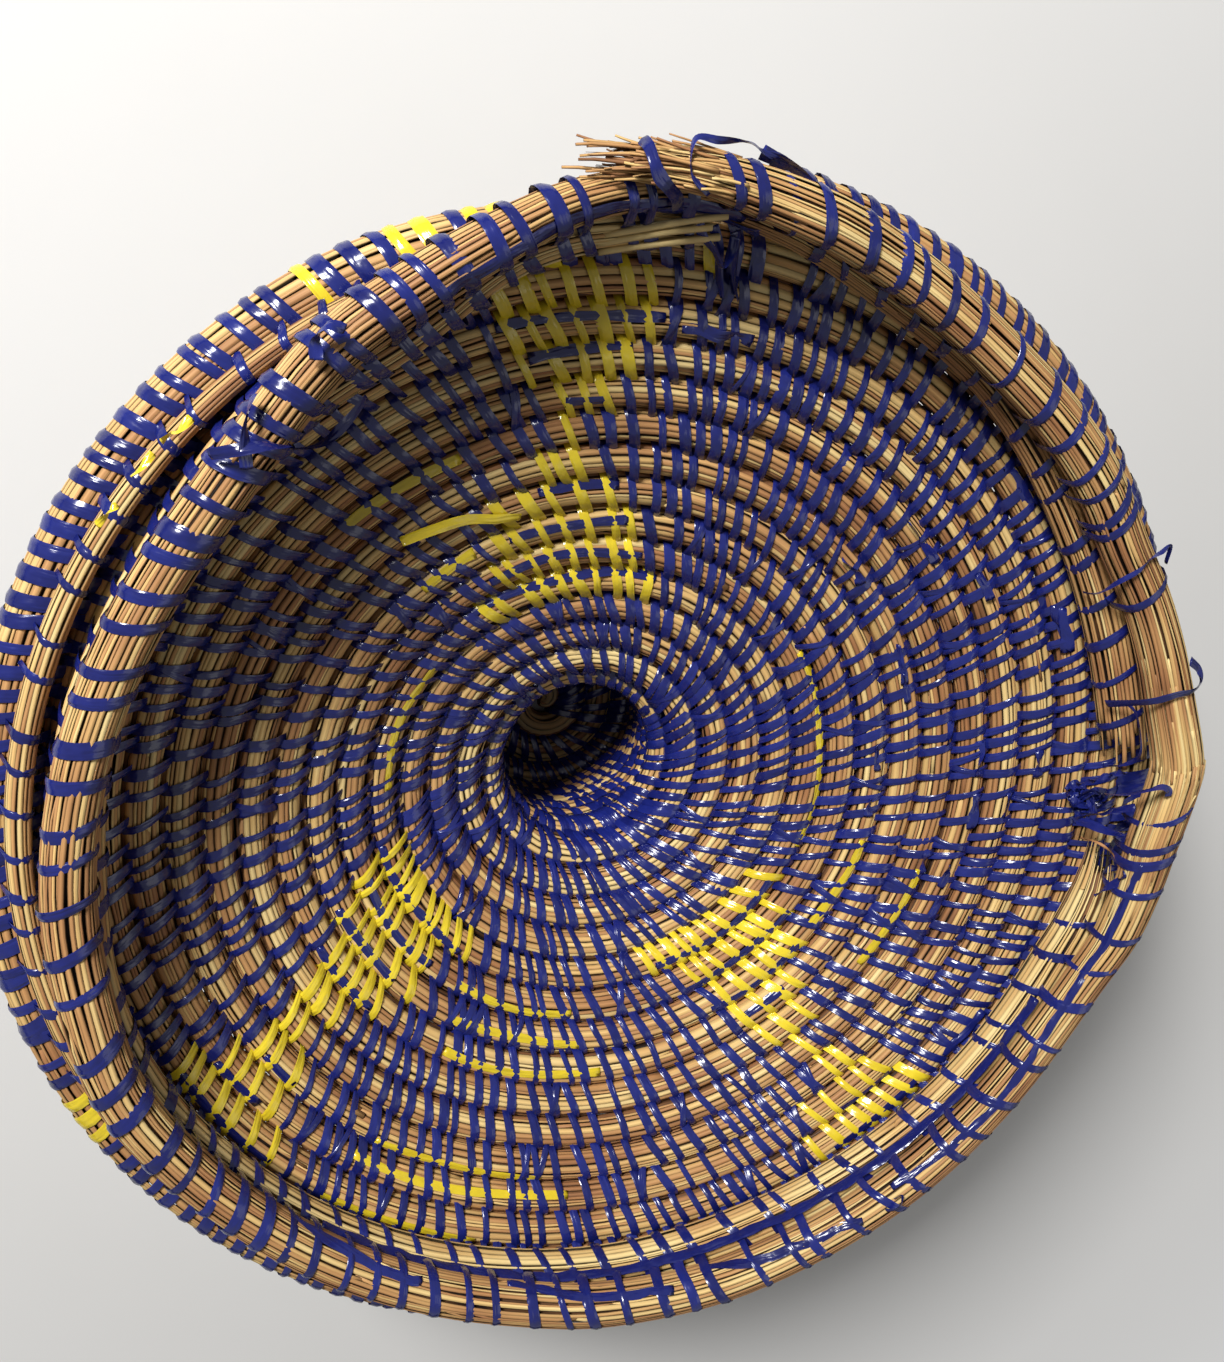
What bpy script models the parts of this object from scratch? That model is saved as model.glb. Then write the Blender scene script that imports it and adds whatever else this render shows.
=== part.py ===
"""Coiled grass basket: a wide, shallow funnel on a hollow stem, with a raised ring round its mouth.

One bundle of grass is wound in a spiral, row against row: flat over the closed foot, up the stem
and out over the funnel. A thicker edge coil closes the funnel, and three loose-ended bundles
stand on the last rows as a ring. Flat plastic strip sews the rows and shows between the stitches.

Metres, +Z up. The origin is under the middle of the foot, on the surface that the basket stands on.
"""

import math

import bmesh
import bpy

MM = 0.001

# The bundle that makes foot, stem and funnel
COIL_TURNS = 23.0               # from the middle of the foot to the end of the funnel's last row
COIL_GAP = 0.8 * MM             # left between two rows
COIL_START_RADIUS = 5.8 * MM    # of the first turn, round the middle of the foot
COIL_POINTS = 24                # points in a loop

# The wall's section, from the middle of the foot outwards and up
FOOT_RADIUS = 38.0 * MM         # of the stem's lowest row
FOOT_CORNER_RADIUS = 12.0 * MM
FOOT_CUT_SHARE = 0.1            # of the coil's diameter, worn flat underneath
STEM_LENGTH = 47.0 * MM         # the straight part
STEM_LEAN = math.radians(8.5)   # inwards, going up
LIP_RADIUS = 14.0 * MM          # where the stem turns out into the funnel
FUNNEL_SLOPE = math.radians(24.5)
FUNNEL_RADIUS = 164.4 * MM      # of the funnel's last row, at its end
FUNNEL_SPLIT_SHARE = 0.52       # of the funnel's turns, where its inner node ends
YELLOW_ROW_TURN = 11.781        # turns up to angle 0 of the row inside the inmost yellow one

# The thicker coil round the edge
EDGE_DIAMETER = 15.4 * MM
EDGE_GAP = 0.5 * MM
EDGE_RAMP_TURN = 0.11           # share of a turn over which the bundle thickens
EDGE_END_GAP = 0.6 * MM

# The thin coil in the groove between the edge and the ring
GROOVE_DIAMETER = 6.2 * MM
GROOVE_START = math.radians(112.0)
GROOVE_END = math.radians(224.0)
GROOVE_REST = math.radians(118.0)  # direction from the edge coil's middle to the groove coil's

# The ring's three bundles
RING_INSET = 8.4 * MM           # from the funnel's last row to the ring's circle
RING_SWING = 10.0 * MM          # how far the ring strays from its circle
RING_LOW_DIAMETER = 14.0 * MM
RING_TOP_DIAMETER = 13.0 * MM
RING_GAP = 0.45 * MM
RING_STEP = math.radians(5.0)   # between two points of a bundle

# Flat plastic strip
STRIP_WIDTH = 3.2 * MM
STRIP_THICKNESS = 0.5 * MM
STRIP_GAP = 0.35 * MM

# The knot at the ring's right side
KNOT_SIZE = 1.75 * MM
KNOT_STRAND = 1.35 * MM         # its radius
KNOT_POINTS = 36
KNOT_ANGLE = math.radians(-2.0)
KNOT_ROW = 10.45                # between the two outermost rows

# Sizes that follow
RING_RADIUS = FUNNEL_RADIUS - RING_INSET
EDGE_RADIUS = EDGE_DIAMETER / 2
GROOVE_RADIUS = GROOVE_DIAMETER / 2
TURN = 2 * math.pi
NODE_GAP = 0.35 * MM
WELD_DISTANCE = 0.001 * MM

# The ring's outlines. Each row is an angle in degrees, a share of RING_SWING added to RING_RADIUS,
# a share of the bundle's thickness, and the level: 0 on the funnel's rows, 1 on the lower bundle,
# and above that in shares of the lower bundle's diameter.
MAIN_BUNDLE_SHARES = (
    (364, 1.20, 1.16, 1.0), (356, 0.75, 1.14, 1.0), (350, 0.70, 1.05, 1.0), (344, 0.62, 1.00, 1.0),
    (338, 0.32, 0.95, 1.0), (330, 0.12, 0.95, 1.0), (318, 0.12, 0.95, 1.0), (304, 0.10, 1.02, 1.0),
    (292, 0.14, 1.00, 1.0), (280, 0.15, 1.00, 1.0), (270, 0.02, 1.00, 1.0), (262, -0.06, 1.00, 1.0),
    (254, -0.25, 1.00, 1.0), (244, -0.34, 1.00, 1.0), (232, -0.38, 1.00, 1.0), (220, -0.36, 1.00, 1.0),
    (210, -0.24, 1.00, 1.0), (198, -0.12, 1.04, 1.0), (189, -0.30, 1.04, 1.0), (178, -0.40, 1.04, 1.0),
    (166, -0.56, 1.00, 1.0), (152, -0.70, 1.00, 1.0), (137, -0.68, 1.00, 1.0), (128, -0.34, 1.00, 1.0),
    (119, 0.25, 1.00, 1.0), (110, 0.63, 1.00, 1.0), (103, 1.05, 0.92, 0.98), (98, 1.42, 0.80, 0.88),
    (92, 1.70, 0.72, 0.74), (86, 1.80, 0.74, 0.58), (80, 1.66, 0.88, 0.26), (74, 1.40, 1.00, 0.0),
    (65, 1.00, 1.05, 0.0), (54, 0.75, 1.05, 0.0), (44, 0.46, 1.05, 0.0), (34, 0.25, 1.05, 0.0),
    (22, 0.18, 1.05, 0.0), (12, 0.25, 1.05, 0.0), (3, 0.46, 1.05, 0.0),
)
END_BUNDLE_SHARES = (
    (5.4, 1.20, 1.16, 1.0), (12, 0.92, 1.10, 1.0), (18, 0.80, 1.04, 1.0), (24, 0.68, 1.00, 1.0),
    (31, 0.52, 1.00, 1.0), (38, 0.64, 1.00, 1.0), (46, 0.68, 1.00, 1.0), (54, 0.72, 0.97, 1.0),
    (61, 0.90, 0.96, 1.0), (68, 1.20, 0.96, 1.0), (76, 1.52, 0.95, 1.1), (84, 1.88, 0.85, 1.2),
    (90, 2.16, 0.52, 1.3), (96, 2.40, 0.22, 1.3),
)
LOW_BUNDLE_SHARES = (
    (83.5, 0.95, 0.50, 0.0), (90, 0.92, 0.64, 0.0), (98, 0.85, 0.82, 0.0), (103, 0.60, 0.94, 0.0),
    (109, 0.05, 1.00, 0.0), (115, -0.25, 1.00, 0.0), (128, -0.35, 1.00, 0.0), (140, -0.65, 1.00, 0.0),
    (150, -0.65, 1.00, 0.0), (162, -0.50, 1.00, 0.0), (178, -0.45, 1.00, 0.0), (190, -0.18, 1.00, 0.0),
    (202, -0.05, 1.00, 0.0), (216, -0.15, 1.00, 0.0), (232, -0.20, 1.00, 0.0), (250, -0.20, 1.00, 0.0),
    (268, -0.18, 1.00, 0.0), (284, -0.24, 1.00, 0.0), (296, -0.18, 1.00, 0.0), (310, -0.10, 1.00, 0.0),
    (324, -0.02, 1.00, 0.0), (337, 0.10, 1.00, 0.0), (343, 0.30, 0.95, 0.0), (349, 0.45, 0.80, 0.0),
    (354, 0.45, 0.40, 0.0),
)
LOWER_SWAP = (76, 90)           # degrees between which the lower level passes from one bundle to the other
RING_STRIP_SHARES = (0.6333, 0.9278)  # of a turn, where the strip along the ring starts and ends

# Strip carried along the rows: the row counted from the inmost yellow one, then the angles in degrees
CARRIED_YELLOW_TURNS = (
    (1, 337, 392), (1, 140, 176), (2, 232, 262), (3, 234, 264), (4, 236, 268),
    (7, 232, 258), (8, 230, 262), (9, 228, 250), (3, 322, 344), (5, 322, 342), (6, 112, 130),
)
CARRIED_BLUE_TURNS = (
    (1, 74, 124), (2, 80, 116), (3, 85, 110), (4, 88, 103), (7, 91, 98), (8, 89, 101), (9, 86, 104),
    (1, 191, 229), (2, 196, 225), (3, 199, 220), (4, 203, 220), (7, 211, 217), (8, 207, 216), (9, 205, 222),
    (1, 286, 327), (2, 290, 323), (3, 294, 319), (4, 299, 310), (8, 303, 313), (9, 300, 314),
)
YELLOW_TAIL_TURNS = ((3, 116, 128),)


def wall_segments():
    """The wall's section as (length, turn) pieces, heading level and outwards at first."""
    stem_heading = math.pi / 2 + STEM_LEAN
    lip_turn = stem_heading - FUNNEL_SLOPE
    flat = FOOT_RADIUS - FOOT_CORNER_RADIUS - COIL_START_RADIUS
    pieces = [
        (flat, 0.0),
        (FOOT_CORNER_RADIUS * stem_heading, stem_heading),
        (STEM_LENGTH, 0.0),
        (LIP_RADIUS * lip_turn, -lip_turn),
    ]
    radius, height, heading = walk(pieces, sum(length for length, turn in pieces))
    pieces.append(((FUNNEL_RADIUS - radius) / math.cos(FUNNEL_SLOPE), 0.0))
    return pieces


def walk(pieces, distance):
    """Radius, height over the foot's row and heading of the wall's section at a distance along it."""
    radius, height, heading = COIL_START_RADIUS, 0.0, 0.0
    left = distance
    for index, (length, turn) in enumerate(pieces):
        last = index == len(pieces) - 1
        step = left if last else min(left, length)
        if turn:
            bend = length / turn
            new_heading = heading + step / bend
            radius += bend * (math.sin(new_heading) - math.sin(heading))
            height += bend * (math.cos(heading) - math.cos(new_heading))
            heading = new_heading
        else:
            radius += step * math.cos(heading)
            height += step * math.sin(heading)
        left -= step
        if left <= 0:
            break
    return radius, height, heading


WALL = wall_segments()
WALL_LENGTH = sum(length for length, turn in WALL)
COIL_PITCH = WALL_LENGTH / COIL_TURNS  # from row to row, measured along the wall
COIL_DIAMETER = COIL_PITCH - COIL_GAP
COIL_RADIUS = COIL_DIAMETER / 2
FOOT_CUT = COIL_DIAMETER * FOOT_CUT_SHARE
FOOT_HEIGHT = COIL_RADIUS - FOOT_CUT


def turn_angle(turns):
    """Angle round the axis after that many turns. The winding is rotated by YELLOW_ROW_TURN."""
    return TURN * (turns - YELLOW_ROW_TURN)


def row(turns):
    """Radius, height and heading of the winding after that many turns, on the smooth spiral."""
    radius, height, heading = walk(WALL, turns * COIL_PITCH)
    return radius, FOOT_HEIGHT + height, heading


def winding_point(turns):
    """The winding's middle as a point in space, on the smooth spiral."""
    radius, height, heading = row(turns)
    angle = turn_angle(turns)
    return (radius * math.cos(angle), radius * math.sin(angle), height)


def faceted_point(turns):
    """The same on the straight run between two points of a loop, as the tube is made."""
    low = math.floor(turns * COIL_POINTS) / COIL_POINTS
    share = (turns - low) * COIL_POINTS
    a = winding_point(low)
    b = winding_point(low + 1 / COIL_POINTS)
    return tuple(a[i] + (b[i] - a[i]) * share for i in range(3))


def turns_at(row_index, angle):
    """Turns of the winding where a row of the funnel meets an angle. The inmost yellow row is row 1."""
    return YELLOW_ROW_TURN + row_index + angle / TURN


def smooth(table, angle, column):
    """A table's value at an angle in degrees, by a monotone curve through its rows."""
    rows = sorted(table)
    if angle <= rows[0][0]:
        return rows[0][column]
    for index in range(len(rows) - 1):
        a, b = rows[index], rows[index + 1]
        if angle <= b[0]:
            before = rows[max(index - 1, 0)]
            after = rows[min(index + 2, len(rows) - 1)]
            span = b[0] - a[0]
            slope_a = (b[column] - before[column]) / (b[0] - before[0])
            slope_b = (after[column] - a[column]) / (after[0] - a[0])
            t = (angle - a[0]) / span
            rise = (2 * t ** 3 - 3 * t ** 2 + 1) * a[column] + (3 * t ** 2 - 2 * t ** 3) * b[column]
            lean = (t ** 3 - 2 * t ** 2 + t) * slope_a + (t ** 3 - t ** 2) * slope_b
            return rise + lean * span
    return rows[-1][column]


def edge_point(share):
    """Point and radius of the edge coil after that share of its one turn."""
    turns = COIL_TURNS + share
    inner_radius, inner_height, heading = row(turns - 1)
    ramp = min(1.0, share / EDGE_RAMP_TURN)
    ease = ramp * ramp * (3 - 2 * ramp)
    thickness = COIL_RADIUS + (EDGE_RADIUS - COIL_RADIUS) * ease
    reach = COIL_RADIUS + thickness + EDGE_GAP
    slope = FUNNEL_SLOPE * (1 - ease)
    radius = inner_radius + reach * math.cos(slope)
    height = inner_height + reach * math.sin(slope)
    angle = turn_angle(turns)
    return (radius * math.cos(angle), radius * math.sin(angle), height), thickness


def seat_height(radius, angle, thickness):
    """Lowest height at which a bundle of that radius of section clears the funnel's rows and the edge coil."""
    past_end = ((angle - turn_angle(COIL_TURNS)) % TURN) / TURN
    below = [(faceted_point(COIL_TURNS + past_end - back), COIL_RADIUS) for back in range(1, 5)]
    below.append(edge_point(past_end))
    best = FOOT_HEIGHT
    for (x, y, z), own in below:
        reach = thickness + own + RING_GAP
        away = abs(radius - math.hypot(x, y))
        if away < reach:
            best = max(best, z + math.sqrt(reach ** 2 - away ** 2))
    return best


def ring_radius(table, degrees):
    """Radius of a ring bundle's middle at an angle in degrees."""
    return RING_RADIUS + RING_SWING * smooth(table, degrees, 1)


def lower_height(degrees):
    """Height of the ring's lower level: the main bundle's end up to LOWER_SWAP degrees, then the low bundle."""
    degrees %= 360
    start, end = LOWER_SWAP
    share = min(1.0, max(0.0, (degrees - start) / (end - start)))
    share = share * share * (3 - 2 * share)
    main_radius = ring_radius(MAIN_BUNDLE_SHARES, min(degrees, start))
    radius = main_radius + (ring_radius(LOW_BUNDLE_SHARES, degrees) - main_radius) * share
    return seat_height(radius, math.radians(degrees), RING_LOW_DIAMETER / 2)


def bundle_points(table, diameter):
    """Points and radii along a ring bundle, from its lowest angle to its highest."""
    rows = sorted(table)
    start, end = math.radians(rows[0][0]), math.radians(rows[-1][0])
    count = max(2, round((end - start) / RING_STEP))
    points, radii = [], []
    for index in range(count + 1):
        angle = start + (end - start) * index / count
        degrees = math.degrees(angle)
        radius = ring_radius(table, degrees)
        thickness = diameter / 2 * smooth(table, degrees, 2)
        level = max(0.0, smooth(table, degrees, 3))
        seat = seat_height(radius, angle, thickness)
        upper = lower_height(degrees) + RING_LOW_DIAMETER / 2 + thickness + RING_GAP
        height = seat + (upper - seat) * min(level, 1.0) + RING_LOW_DIAMETER * max(level - 1.0, 0.0)
        points.append((radius * math.cos(angle), radius * math.sin(angle), height))
        radii.append(thickness)
    return points, radii


def collection(name):
    """A collection of that name in the scene."""
    made = bpy.data.collections.new(name)
    bpy.context.scene.collection.children.link(made)
    return made


def material(name, colour, roughness):
    """A plain Principled material."""
    made = bpy.data.materials.new(name)
    made.use_nodes = True
    shader = made.node_tree.nodes["Principled BSDF"]
    shader.inputs["Base Color"].default_value = (*colour, 1.0)
    shader.inputs["Roughness"].default_value = roughness
    shader.inputs["Metallic"].default_value = 0.0
    return made


def tube(name, points, radii, sides_level, finish, home):
    """A tube through the points with filled caps, as a mesh object with its caps welded."""
    curve = bpy.data.curves.new(name, "CURVE")
    curve.dimensions = "3D"
    curve.twist_mode = "Z_UP"
    curve.bevel_depth = 1.0
    curve.bevel_resolution = sides_level
    curve.use_fill_caps = True
    spline = curve.splines.new("POLY")
    spline.points.add(len(points) - 1)
    for control, place, radius in zip(spline.points, points, radii):
        control.co = (*place, 1.0)
        control.radius = radius
    curve_object = bpy.data.objects.new(name + "_path", curve)
    bpy.context.scene.collection.objects.link(curve_object)
    made = as_mesh(curve_object, name, finish, home)
    return made


def as_mesh(curve_object, name, finish, home):
    """The curve's surface as a mesh object that takes its place."""
    bpy.context.view_layer.update()
    graph = bpy.context.evaluated_depsgraph_get()
    mesh = bpy.data.meshes.new_from_object(curve_object.evaluated_get(graph))
    mesh.name = name
    weld(mesh)
    made = bpy.data.objects.new(name, mesh)
    made.matrix_world = curve_object.matrix_world
    curve = curve_object.data
    bpy.data.objects.remove(curve_object)
    bpy.data.curves.remove(curve)
    mesh.materials.clear()
    mesh.materials.append(finish)
    mesh.shade_smooth()
    mesh.set_sharp_from_angle(angle=math.radians(65))
    home.objects.link(made)
    return made


def weld(mesh):
    """Joins the loose caps to the tube's sides."""
    work = bmesh.new()
    work.from_mesh(mesh)
    bmesh.ops.remove_doubles(work, verts=work.verts, dist=WELD_DISTANCE)
    bmesh.ops.recalc_face_normals(work, faces=work.faces)
    work.to_mesh(mesh)
    work.free()


def winding(name, start, end, finish, home):
    """The wound bundle between two counts of turns, with a point every 1/24 of a turn."""
    first = math.ceil(start * COIL_POINTS + 0.2)
    last = math.floor(end * COIL_POINTS - 0.2)
    counts = [start] + [index / COIL_POINTS for index in range(first, last + 1)] + [end]
    points = [faceted_point(turns) for turns in counts]
    return tube(name, points, [COIL_RADIUS] * len(points), 1, finish, home), points


def strip_on_row(row_index, from_degrees, to_degrees, lift):
    """Points of a strip that lies along a row, on the side that faces up and inwards."""
    start = turns_at(row_index, math.radians(from_degrees))
    end = turns_at(row_index, math.radians(to_degrees))
    first = math.ceil(start * COIL_POINTS + 0.2)
    last = math.floor(end * COIL_POINTS - 0.2)
    counts = [start] + [index / COIL_POINTS for index in range(first, last + 1)] + [end]
    points = []
    for turns in counts:
        x, y, z = faceted_point(turns)
        angle = math.atan2(y, x)
        heading = row(turns)[2]
        out = -math.sin(heading) * lift
        points.append((x + out * math.cos(angle), y + out * math.sin(angle), z + math.cos(heading) * lift))
    return points


def box_section(home):
    """The strip's flat section, as a guide curve."""
    curve = bpy.data.curves.new("strip_section", "CURVE")
    curve.dimensions = "2D"
    spline = curve.splines.new("POLY")
    spline.points.add(3)
    half_wide, half_thick = STRIP_WIDTH / 2, STRIP_THICKNESS / 2
    corners = ((-half_thick, -half_wide), (half_thick, -half_wide), (half_thick, half_wide), (-half_thick, half_wide))
    for control, (x, y) in zip(spline.points, corners):
        control.co = (x, y, 0.0, 1.0)
    spline.use_cyclic_u = True
    made = bpy.data.objects.new("strip_section", curve)
    made.hide_render = True
    made.display_type = "WIRE"
    home.objects.link(made)
    return made


def strip(name, points, tilt, section, finish, home):
    """A flat strip along the points."""
    curve = bpy.data.curves.new(name, "CURVE")
    curve.dimensions = "3D"
    curve.twist_mode = "Z_UP"
    curve.bevel_mode = "OBJECT"
    curve.bevel_object = section
    curve.use_fill_caps = True
    spline = curve.splines.new("POLY")
    spline.points.add(len(points) - 1)
    for control, place in zip(spline.points, points):
        control.co = (*place, 1.0)
        control.radius = 1.0
        control.tilt = tilt
    curve_object = bpy.data.objects.new(name + "_path", curve)
    bpy.context.scene.collection.objects.link(curve_object)
    return as_mesh(curve_object, name, finish, home)


def ring_strip_points():
    """Points of the strip that lies in the groove between the ring's two bundles, on the inside."""
    points = []
    half_wide = STRIP_WIDTH / 2
    low = RING_LOW_DIAMETER / 2
    top = RING_TOP_DIAMETER / 2
    start, end = (TURN * share for share in RING_STRIP_SHARES)
    count = round((end - start) / RING_STEP)
    for index in range(count + 1):
        angle = start + (end - start) * index / count
        degrees = math.degrees(angle)
        low_radius = ring_radius(LOW_BUNDLE_SHARES, degrees)
        top_radius = ring_radius(MAIN_BUNDLE_SHARES, degrees)
        low_z = lower_height(degrees)
        top_z = low_z + low + top + RING_GAP
        middle = low_z + (top_z - low_z) * low / (low + top)
        reach_low = math.sqrt(max(low ** 2 - (middle - half_wide - low_z) ** 2, 0))
        reach_top = math.sqrt(max(top ** 2 - (top_z - middle - half_wide) ** 2, 0))
        radius = min(low_radius - reach_low, top_radius - reach_top) - STRIP_GAP - STRIP_THICKNESS / 2
        points.append((radius * math.cos(angle), radius * math.sin(angle), middle))
    return points


def knot_points():
    """An overhand knot, as the trefoil curve, lying flat on the wall's inner side."""
    radius, height, heading = row(turns_at(KNOT_ROW, KNOT_ANGLE))
    lift = COIL_RADIUS + STRIP_GAP + KNOT_SIZE + KNOT_STRAND
    points = []
    for index in range(KNOT_POINTS):
        t = TURN * index / KNOT_POINTS
        across = KNOT_SIZE * (math.sin(t) + 2 * math.sin(2 * t))
        along = KNOT_SIZE * (math.cos(t) - 2 * math.cos(2 * t))
        out = lift - KNOT_SIZE * math.sin(3 * t)
        reach = radius + across * math.cos(heading) - out * math.sin(heading)
        rise = height + across * math.sin(heading) + out * math.cos(heading)
        points.append((
            reach * math.cos(KNOT_ANGLE) - along * math.sin(KNOT_ANGLE),
            reach * math.sin(KNOT_ANGLE) + along * math.cos(KNOT_ANGLE),
            rise,
        ))
    return points


def knot(name, finish, home):
    """The knot as a closed tube at its place."""
    curve = bpy.data.curves.new(name, "CURVE")
    curve.dimensions = "3D"
    curve.bevel_depth = KNOT_STRAND
    curve.bevel_resolution = 1
    spline = curve.splines.new("POLY")
    points = knot_points()
    spline.points.add(len(points) - 1)
    for control, place in zip(spline.points, points):
        control.co = (*place, 1.0)
    spline.use_cyclic_u = True
    curve_object = bpy.data.objects.new(name + "_path", curve)
    bpy.context.scene.collection.objects.link(curve_object)
    return as_mesh(curve_object, name, finish, home)


def cut_foot(target, cutters):
    """Cuts the foot flat where it stands."""
    wide = 2 * (FOOT_RADIUS + COIL_DIAMETER)
    deep = COIL_DIAMETER
    bpy.ops.mesh.primitive_cube_add(size=1.0, location=(0, 0, -deep / 2))
    block = bpy.context.object
    block.name = "foot_cutter"
    block.dimensions = (wide, wide, deep)
    bpy.ops.object.transform_apply(location=False, rotation=False, scale=True)
    for owner in list(block.users_collection):
        owner.objects.unlink(block)
    cutters.objects.link(block)
    block.hide_render = True
    block.display_type = "WIRE"
    cut = target.modifiers.new("flat_foot", "BOOLEAN")
    cut.operation = "DIFFERENCE"
    cut.solver = "EXACT"
    cut.object = block


def least_gap(points, radii, apart):
    """Least clear distance between points of a winding that are at least so many points apart."""
    best = float("inf")
    for i, a in enumerate(points):
        for j in range(i + apart, len(points)):
            clear = math.dist(a, points[j]) - radii[i] - radii[j]
            best = min(best, clear)
    return best


def turn_where_height(height):
    """Turns of the winding where its wall first passes that height, in the middle of a straight run."""
    turns = 0.5 / COIL_POINTS
    while row(turns)[1] < height:
        turns += 1 / COIL_POINTS
    return turns


def main():
    for old in list(bpy.data.objects):
        bpy.data.objects.remove(old, do_unlink=True)
    basket = collection("coiled_basket")
    cutters = collection("cutters")

    grass = material("grass", (0.52, 0.33, 0.16), 0.75)
    blue = material("blue_strip", (0.02, 0.035, 0.32), 0.25)
    yellow = material("yellow_strip", (0.80, 0.60, 0.02), 0.30)

    print("pitch in mm:", round(COIL_PITCH / MM, 3), "ends at", round(math.degrees(turn_angle(COIL_TURNS)) % 360, 1), "degrees")
    half_gap = NODE_GAP / 2 / TURN
    foot_end = turn_where_height(COIL_RADIUS + COIL_GAP)
    lip_start = (WALL_LENGTH - WALL[4][0] - WALL[3][0]) / COIL_PITCH
    lip_start = (math.floor(lip_start * COIL_POINTS) + 0.5) / COIL_POINTS
    middle = lip_start + (COIL_TURNS - lip_start) * FUNNEL_SPLIT_SHARE
    middle = (math.floor(middle * COIL_POINTS) + 0.5) / COIL_POINTS
    foot_split, lip_split, middle_split, end_split = (
        half_gap / row(turns)[0] for turns in (foot_end, lip_start, middle, COIL_TURNS)
    )

    foot, foot_points = winding("foot_coil", 0.0, foot_end - foot_split, grass, basket)
    cut_foot(foot, cutters)
    stem, stem_points = winding("stem_coil", foot_end + foot_split, lip_start - lip_split, grass, basket)
    inner, inner_points = winding("funnel_inner_coil", lip_start + lip_split, middle - middle_split, grass, basket)
    outer, outer_points = winding("funnel_outer_coil", middle + middle_split, COIL_TURNS - end_split, grass, basket)
    for made, points in ((foot, foot_points), (stem, stem_points), (inner, inner_points), (outer, outer_points)):
        gap = least_gap(points, [COIL_RADIUS] * len(points), round(COIL_POINTS / 2))
        print("least gap of", made.name, "to itself in mm:", round(gap / MM, 2))

    edge_count = round(TURN / RING_STEP)
    edge_inset = EDGE_END_GAP / TURN / FUNNEL_RADIUS
    edge_shares = [edge_inset] + [index / edge_count for index in range(1, edge_count)] + [1.0 - edge_inset]
    edge = [edge_point(share) for share in edge_shares]
    tube("edge_coil", [place for place, radius in edge], [radius for place, radius in edge], 2, grass, basket)

    groove_points, groove_radii = [], []
    groove_count = round((GROOVE_END - GROOVE_START) / RING_STEP)
    base_angle = turn_angle(COIL_TURNS) % TURN
    for index in range(groove_count + 1):
        share = index / groove_count
        angle = GROOVE_START + (GROOVE_END - GROOVE_START) * share
        (x, y, z), thickness = edge_point((angle - base_angle) / TURN)
        taper = min(1.0, 0.45 + 0.55 * math.sin(math.pi * share) ** 0.5)
        own = GROOVE_RADIUS * taper
        reach = thickness + own + RING_GAP
        radius = math.hypot(x, y) + reach * math.cos(GROOVE_REST)
        groove_points.append((radius * math.cos(angle), radius * math.sin(angle), z + reach * math.sin(GROOVE_REST)))
        groove_radii.append(own)
    tube("groove_coil", groove_points, groove_radii, 1, grass, basket)

    for name, table, diameter in (
        ("ring_low_bundle", LOW_BUNDLE_SHARES, RING_LOW_DIAMETER),
        ("ring_main_bundle", MAIN_BUNDLE_SHARES, RING_TOP_DIAMETER),
        ("ring_end_bundle", END_BUNDLE_SHARES, RING_TOP_DIAMETER),
    ):
        points, radii = bundle_points(table, diameter)
        tube(name, points, radii, 2, grass, basket)

    section = box_section(cutters)
    lift = COIL_RADIUS + STRIP_GAP + STRIP_THICKNESS / 2
    flat = math.pi / 2 - FUNNEL_SLOPE
    for name, table, finish in (
        ("yellow_carried_strip", CARRIED_YELLOW_TURNS, yellow),
        ("blue_carried_strip", CARRIED_BLUE_TURNS, blue),
        ("yellow_tail", YELLOW_TAIL_TURNS, yellow),
    ):
        for number, entry in enumerate(table, start=1):
            strip(f"{name}_{number:02d}", strip_on_row(*entry, lift), flat, section, finish, basket)
    strip("blue_ring_strip", ring_strip_points(), 0.0, section, blue, basket)

    knot("knot_blue", blue, basket)


main()
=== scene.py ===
"""The coiled grass basket, dressed: grass stems laid in bundles, sewn row to row with plastic strip.

Every bundle is made of separate stems round a dark core tube, which is painted shade between the stems,
and every stitch is its own loop of flat strip that wraps one row and bites into the row before it.
Metres, in the frame of the CAD model.
"""

import logging
import math
from dataclasses import dataclass, field, replace
from enum import Enum
from functools import cached_property

import bpy
import numpy as np
from numpy.typing import NDArray
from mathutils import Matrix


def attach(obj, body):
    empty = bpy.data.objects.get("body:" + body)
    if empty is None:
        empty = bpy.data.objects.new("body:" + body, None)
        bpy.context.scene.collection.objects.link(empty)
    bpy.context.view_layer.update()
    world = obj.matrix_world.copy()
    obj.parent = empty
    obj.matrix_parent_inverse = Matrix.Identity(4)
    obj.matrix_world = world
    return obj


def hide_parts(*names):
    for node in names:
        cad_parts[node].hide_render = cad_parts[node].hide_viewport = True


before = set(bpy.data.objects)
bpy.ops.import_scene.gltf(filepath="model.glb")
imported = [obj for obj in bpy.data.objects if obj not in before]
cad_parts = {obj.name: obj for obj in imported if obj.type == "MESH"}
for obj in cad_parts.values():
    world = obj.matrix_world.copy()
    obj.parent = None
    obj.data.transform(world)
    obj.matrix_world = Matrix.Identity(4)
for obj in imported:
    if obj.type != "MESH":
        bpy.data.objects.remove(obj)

Array = NDArray[np.float64]
Rng = np.random.Generator
Colour = tuple[float, float, float]
MM = 0.001
TURN = 2 * math.pi
UP = np.array([0.0, 0.0, 1.0])
PHOTO_WIDTH, PHOTO_HEIGHT = 1224, 1362
SEED = 23
log = logging.getLogger("basket")


class Slot(Enum):
    """The record's material slots."""

    GRASS = "grass"
    BLUE = "blue_strip"
    YELLOW = "yellow_strip"


Finishes = dict[Slot, bpy.types.Material]


# Meshes


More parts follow.
